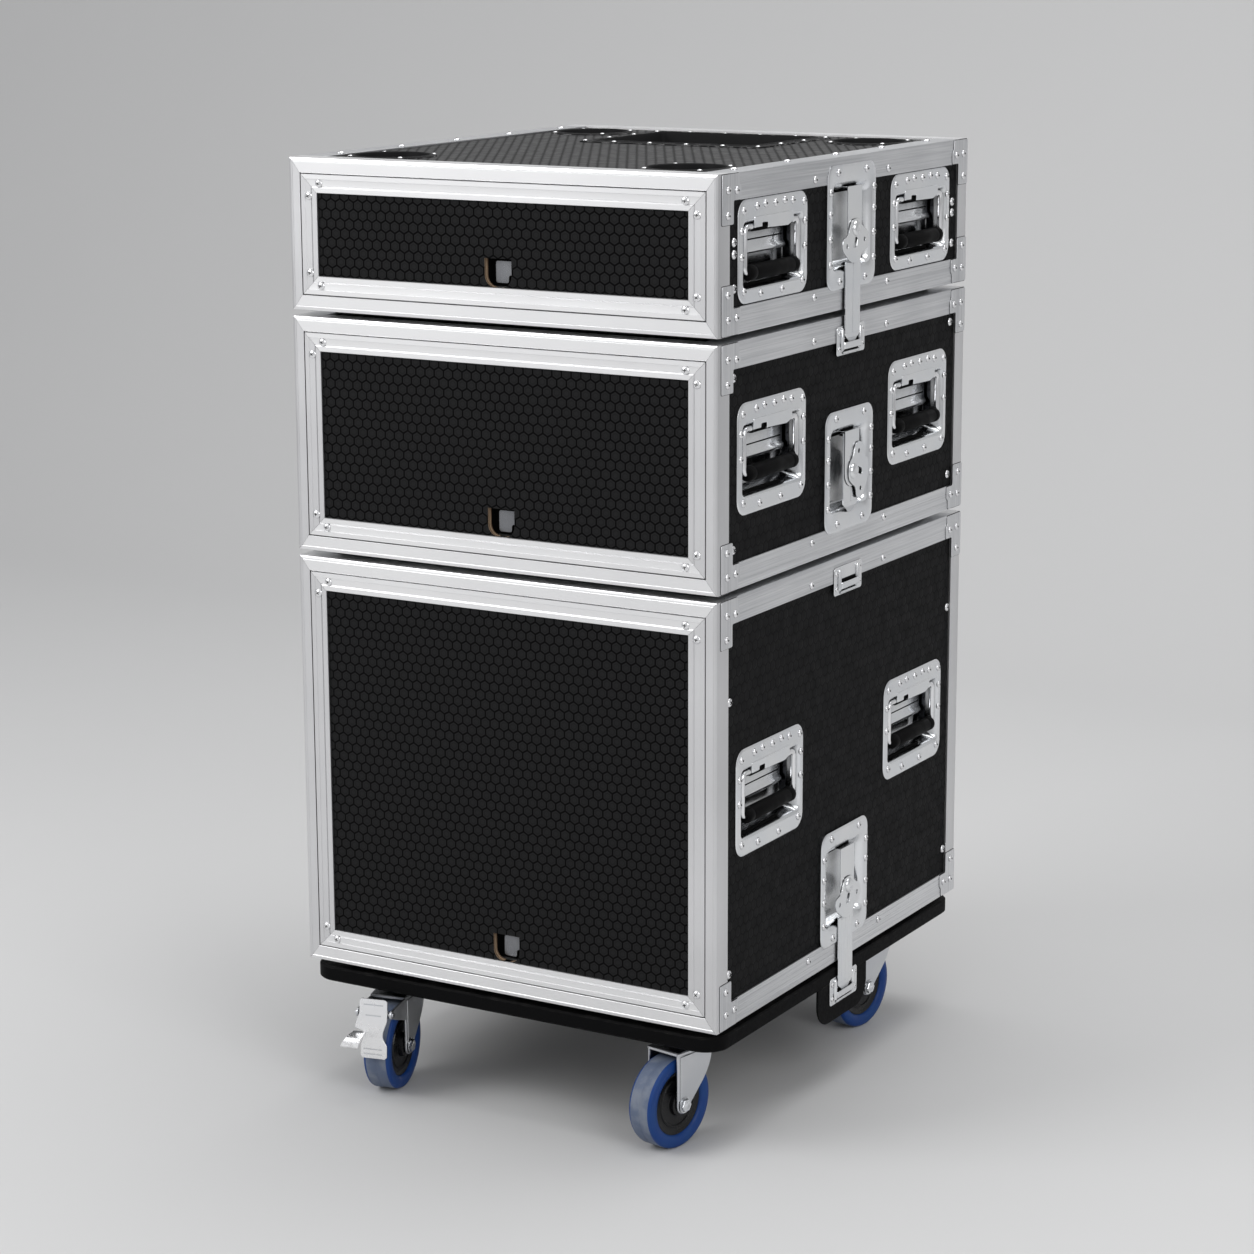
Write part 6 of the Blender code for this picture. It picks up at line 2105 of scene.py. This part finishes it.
    def build_pedal(self) -> None:
        """The brake cover: down from its pin and round the tyre, with a foot tab and pressed lines."""
        node = f"{self.corner}_brake_pedal"
        wall = 0.002
        wheel = self.place() @ shift(y=-self.trail, z=self.radius)
        outline = filleted(
            [
                (-0.0155, 0.008), (0.0178, 0.008), (0.0178, 0.024), (0.0123, 0.032), (0.0123, 0.04),
                (0.0175, 0.054), (0.0175, 0.08), (-0.0178, 0.08), (-0.018, 0.063), (-0.0235, 0.046),
                (-0.0235, 0.043), (-0.0123, 0.0415), (-0.0123, 0.032), (-0.0155, 0.024),
            ],
            0.0026, 3,
        )
        shape = Shape()
        self.wrapped_plate(shape, outline, 0.0, wall, wheel, ZINC_PEDAL)
        for level, half in ((0.013, 0.012), (0.019, 0.012), (0.06, 0.01), (0.073, 0.0125)):
            line = rectangle(2 * half, 0.0013, y=level)
            self.wrapped_plate(shape, line, wall - 0.0006, 0.0009, wheel, ZINC_FORK)
        along, up = self.pin_spot()
        ring = [(0.003, -0.0176), (0.0049, -0.0176), (0.0049, 0.0176), (0.003, 0.0176)]
        shape.turned(ring, wheel @ crosswise(0.0, along, up), ZINC_PEDAL, 24, ring=True)
        root, level = self.cover_line(0.0355, 0.0)
        tab = [
            (0.0, 0.0036), (-0.012, 0.003), (-0.024, 0.001), (-0.031, -0.0018), (-0.0345, -0.0042),
            (-0.0336, -0.0058), (-0.03, -0.0038), (-0.023, -0.0012), (-0.012, 0.0008), (0.0, 0.001),
        ]
        loops = [
            [(x - spread * y, root + y, level + z) for y, z in tab]
            for x, spread in ((-0.025, -0.1), (-0.0244, -0.1), (-0.0112, 0.12), (-0.0104, 0.12))
        ]
        shape.loft(loops, wheel, ZINC_PEDAL)
        publish(f"{node}_cover", shape.mesh("pedal", 35), node, [node])

    def wrapped_plate(
        self, shape: Shape, outline: Loop, lift: float, wall: float, wheel: Matrix, finish: Finish
    ) -> None:
        """Adds a plate bent along the brake cover's section.

        Args:
            shape: the piece that takes it.
            outline: (across, up along the section) of its edge.
            lift: how far its inner face stands out from the section.
            wall: its thickness.
            wheel: the wheel's centre.
            finish: its finish.
        """
        low, high = min(v for _, v in outline), max(v for _, v in outline)
        steps = 40
        edge = min(0.0004, wall / 3)
        loops = []
        for i in range(steps + 1):
            level = low + (high - low) * min(max(i / steps, 0.0005), 0.9995)
            hits = []
            for a, b in zip(outline, outline[1:] + outline[:1]):
                if (a[1] - level) * (b[1] - level) <= 0 and a[1] != b[1]:
                    hits.append(a[0] + (b[0] - a[0]) * (level - a[1]) / (b[1] - a[1]))
            left, right = min(hits), max(hits)
            loop = []
            for x, depth in (
                (left, edge), (left + edge, 0.0), (right - edge, 0.0), (right, edge),
                (right, wall - edge), (right - edge, wall), (left + edge, wall), (left, wall - edge),
            ):
                loop.append((x, *self.cover_line(level, lift + depth)))
            loops.append(loop)
        shape.loft(loops, wheel, finish)


# Rack rails keep their solids and take a finish


def dress_rack_rails() -> None:
    """Gives the rack rails, whose solids are shown as they are, their zinc finish."""
    material = material_of(ZINC_FORK)
    for name, node in frame["nodes"].items():
        if name.endswith("_rack_rail"):
            node.data.materials.clear()
            node.data.materials.append(material)


# Floor, light and camera


class Lamp(Enum):
    """Square soft lamps: place, height above the origin that each looks at, size and power."""

    KEY = ((-2.2, -2.6, 2.9), 0.6, 2.2, 62.0)
    FRONT = ((-2.9, -4.6, 0.8), 0.3, 2.8, 12.0)
    SIDE = ((3.0, -1.8, 2.2), 0.6, 2.0, 36.0)
    TOP = ((0.3, 0.6, 3.6), 0.5, 2.6, 54.0)


@dataclass
class Studio:
    """A plain pale sweep, soft lamps and the photograph's camera."""

    backdrop: Colour = (0.62, 0.62, 0.62)
    focal: float = 91.97
    sensor: float = 36.0
    yaw: float = -30.316068
    pitch: float = -12.602694
    roll: float = -0.228552
    eye: Spot = (1.917079, CENTRE_Y - 3.312872, STACK_BASE + 1.233566)

    def build(self) -> None:
        """Builds the sweep, the lamps, the world and the camera."""
        self.sweep()
        self.world()
        for lamp in Lamp:
            self.light(lamp)
        self.camera()

    def sweep(self) -> None:
        """Floor that curves up into the backdrop."""
        radius, back, high, wide = 1.6, 2.0, 5.0, 9.0
        profile = [(-7.0, 0.0), (0.0, 0.0)]
        profile += [(back + x, radius + z) for x, z in arc(0.0, 0.0, radius, 270, 360, 24)]
        profile += [(back + radius, high)]
        points = [(side * wide, y, z) for y, z in profile for side in (-1, 1)]
        faces = [(2 * i, 2 * i + 1, 2 * i + 3, 2 * i + 2) for i in range(len(profile) - 1)]
        mesh = bpy.data.meshes.new("sweep")
        mesh.from_pydata(points, [], faces)
        mesh.shade_smooth()
        floor = bpy.data.objects.new("floor_sweep", mesh)
        bpy.context.scene.collection.objects.link(floor)
        sheet = FinishSheet("pale_sweep")
        noise = sheet.noise(sheet.place, 2.0)
        colour = sheet.blend(noise, rgba(self.backdrop), rgba(tuple(c * 0.985 for c in self.backdrop)))
        mesh.materials.append(sheet.finish(colour, 0.85, 0.0, Specular_IOR_Level=0.2))

    def world(self) -> None:
        """A pale even world."""
        world = bpy.data.worlds.new("studio")
        world.use_nodes = True
        bpy.context.scene.world = world
        shade = world.node_tree.nodes["Background"]
        shade.inputs["Color"].default_value = (0.98, 0.985, 1.0, 1.0)
        shade.inputs["Strength"].default_value = 0.55

    @staticmethod
    def light(kind: Lamp) -> None:
        """Stands one lamp."""
        name, (spot, height, size, power) = f"{kind.name.lower()}_lamp", kind.value
        aim = (0.0, 0.0, height)
        light = bpy.data.lights.new(name, "AREA")
        light.shape = "SQUARE"
        light.size = size
        light.energy = power
        lamp = bpy.data.objects.new(name, light)
        lamp.location = spot
        lamp.rotation_euler = (Vector(aim) - Vector(spot)).to_track_quat("-Z", "Y").to_euler()
        bpy.context.scene.collection.objects.link(lamp)

    def camera(self) -> None:
        """The camera at the photograph's place and angle."""
        yaw, pitch, roll = (math.radians(v) for v in (self.yaw, self.pitch, self.roll))
        ahead = Vector((math.sin(yaw) * math.cos(pitch), math.cos(yaw) * math.cos(pitch), math.sin(pitch)))
        right = Vector((math.cos(yaw), -math.sin(yaw), 0.0))
        up = right.cross(ahead)
        across = right * math.cos(roll) + up * math.sin(roll)
        upward = up * math.cos(roll) - right * math.sin(roll)
        turn = Matrix((across, upward, -ahead)).transposed().to_4x4()
        data = bpy.data.cameras.new("camera")
        data.lens = self.focal
        data.sensor_width = self.sensor
        camera = bpy.data.objects.new("camera", data)
        camera.matrix_world = Matrix.Translation(self.eye) @ turn
        bpy.context.scene.collection.objects.link(camera)
        bpy.context.scene.camera = camera


SWIVEL_REST = {"front_left": 12.0, "front_right": -11.0, "rear_left": 6.0, "rear_right": -9.0}
BRAKED = ("front_left", "rear_left")


def main() -> None:
    """Builds every sub-assembly in order."""
    logging.basicConfig(level=logging.INFO, format="%(message)s")
    Studio().build()
    for unit in UNITS:
        EdgeFrame(unit).build()
        PlyShell(unit).build()
        for end in End:
            LiftOffDoor(unit, end).build()
        for side in Side:
            ButterflyLatch(unit, side).build()
            for end in End:
                SprungHandle(unit, side, end).build()
    TopFittings().build(UNITS[-1])
    Dolly().build()
    for corner, spot in Dolly.castors().items():
        Castor(corner, spot, SWIVEL_REST[corner], corner in BRAKED).build()
    dress_rack_rails()
    bpy.context.scene.view_settings.view_transform = "Standard"


if __name__ == "__main__":
    main()
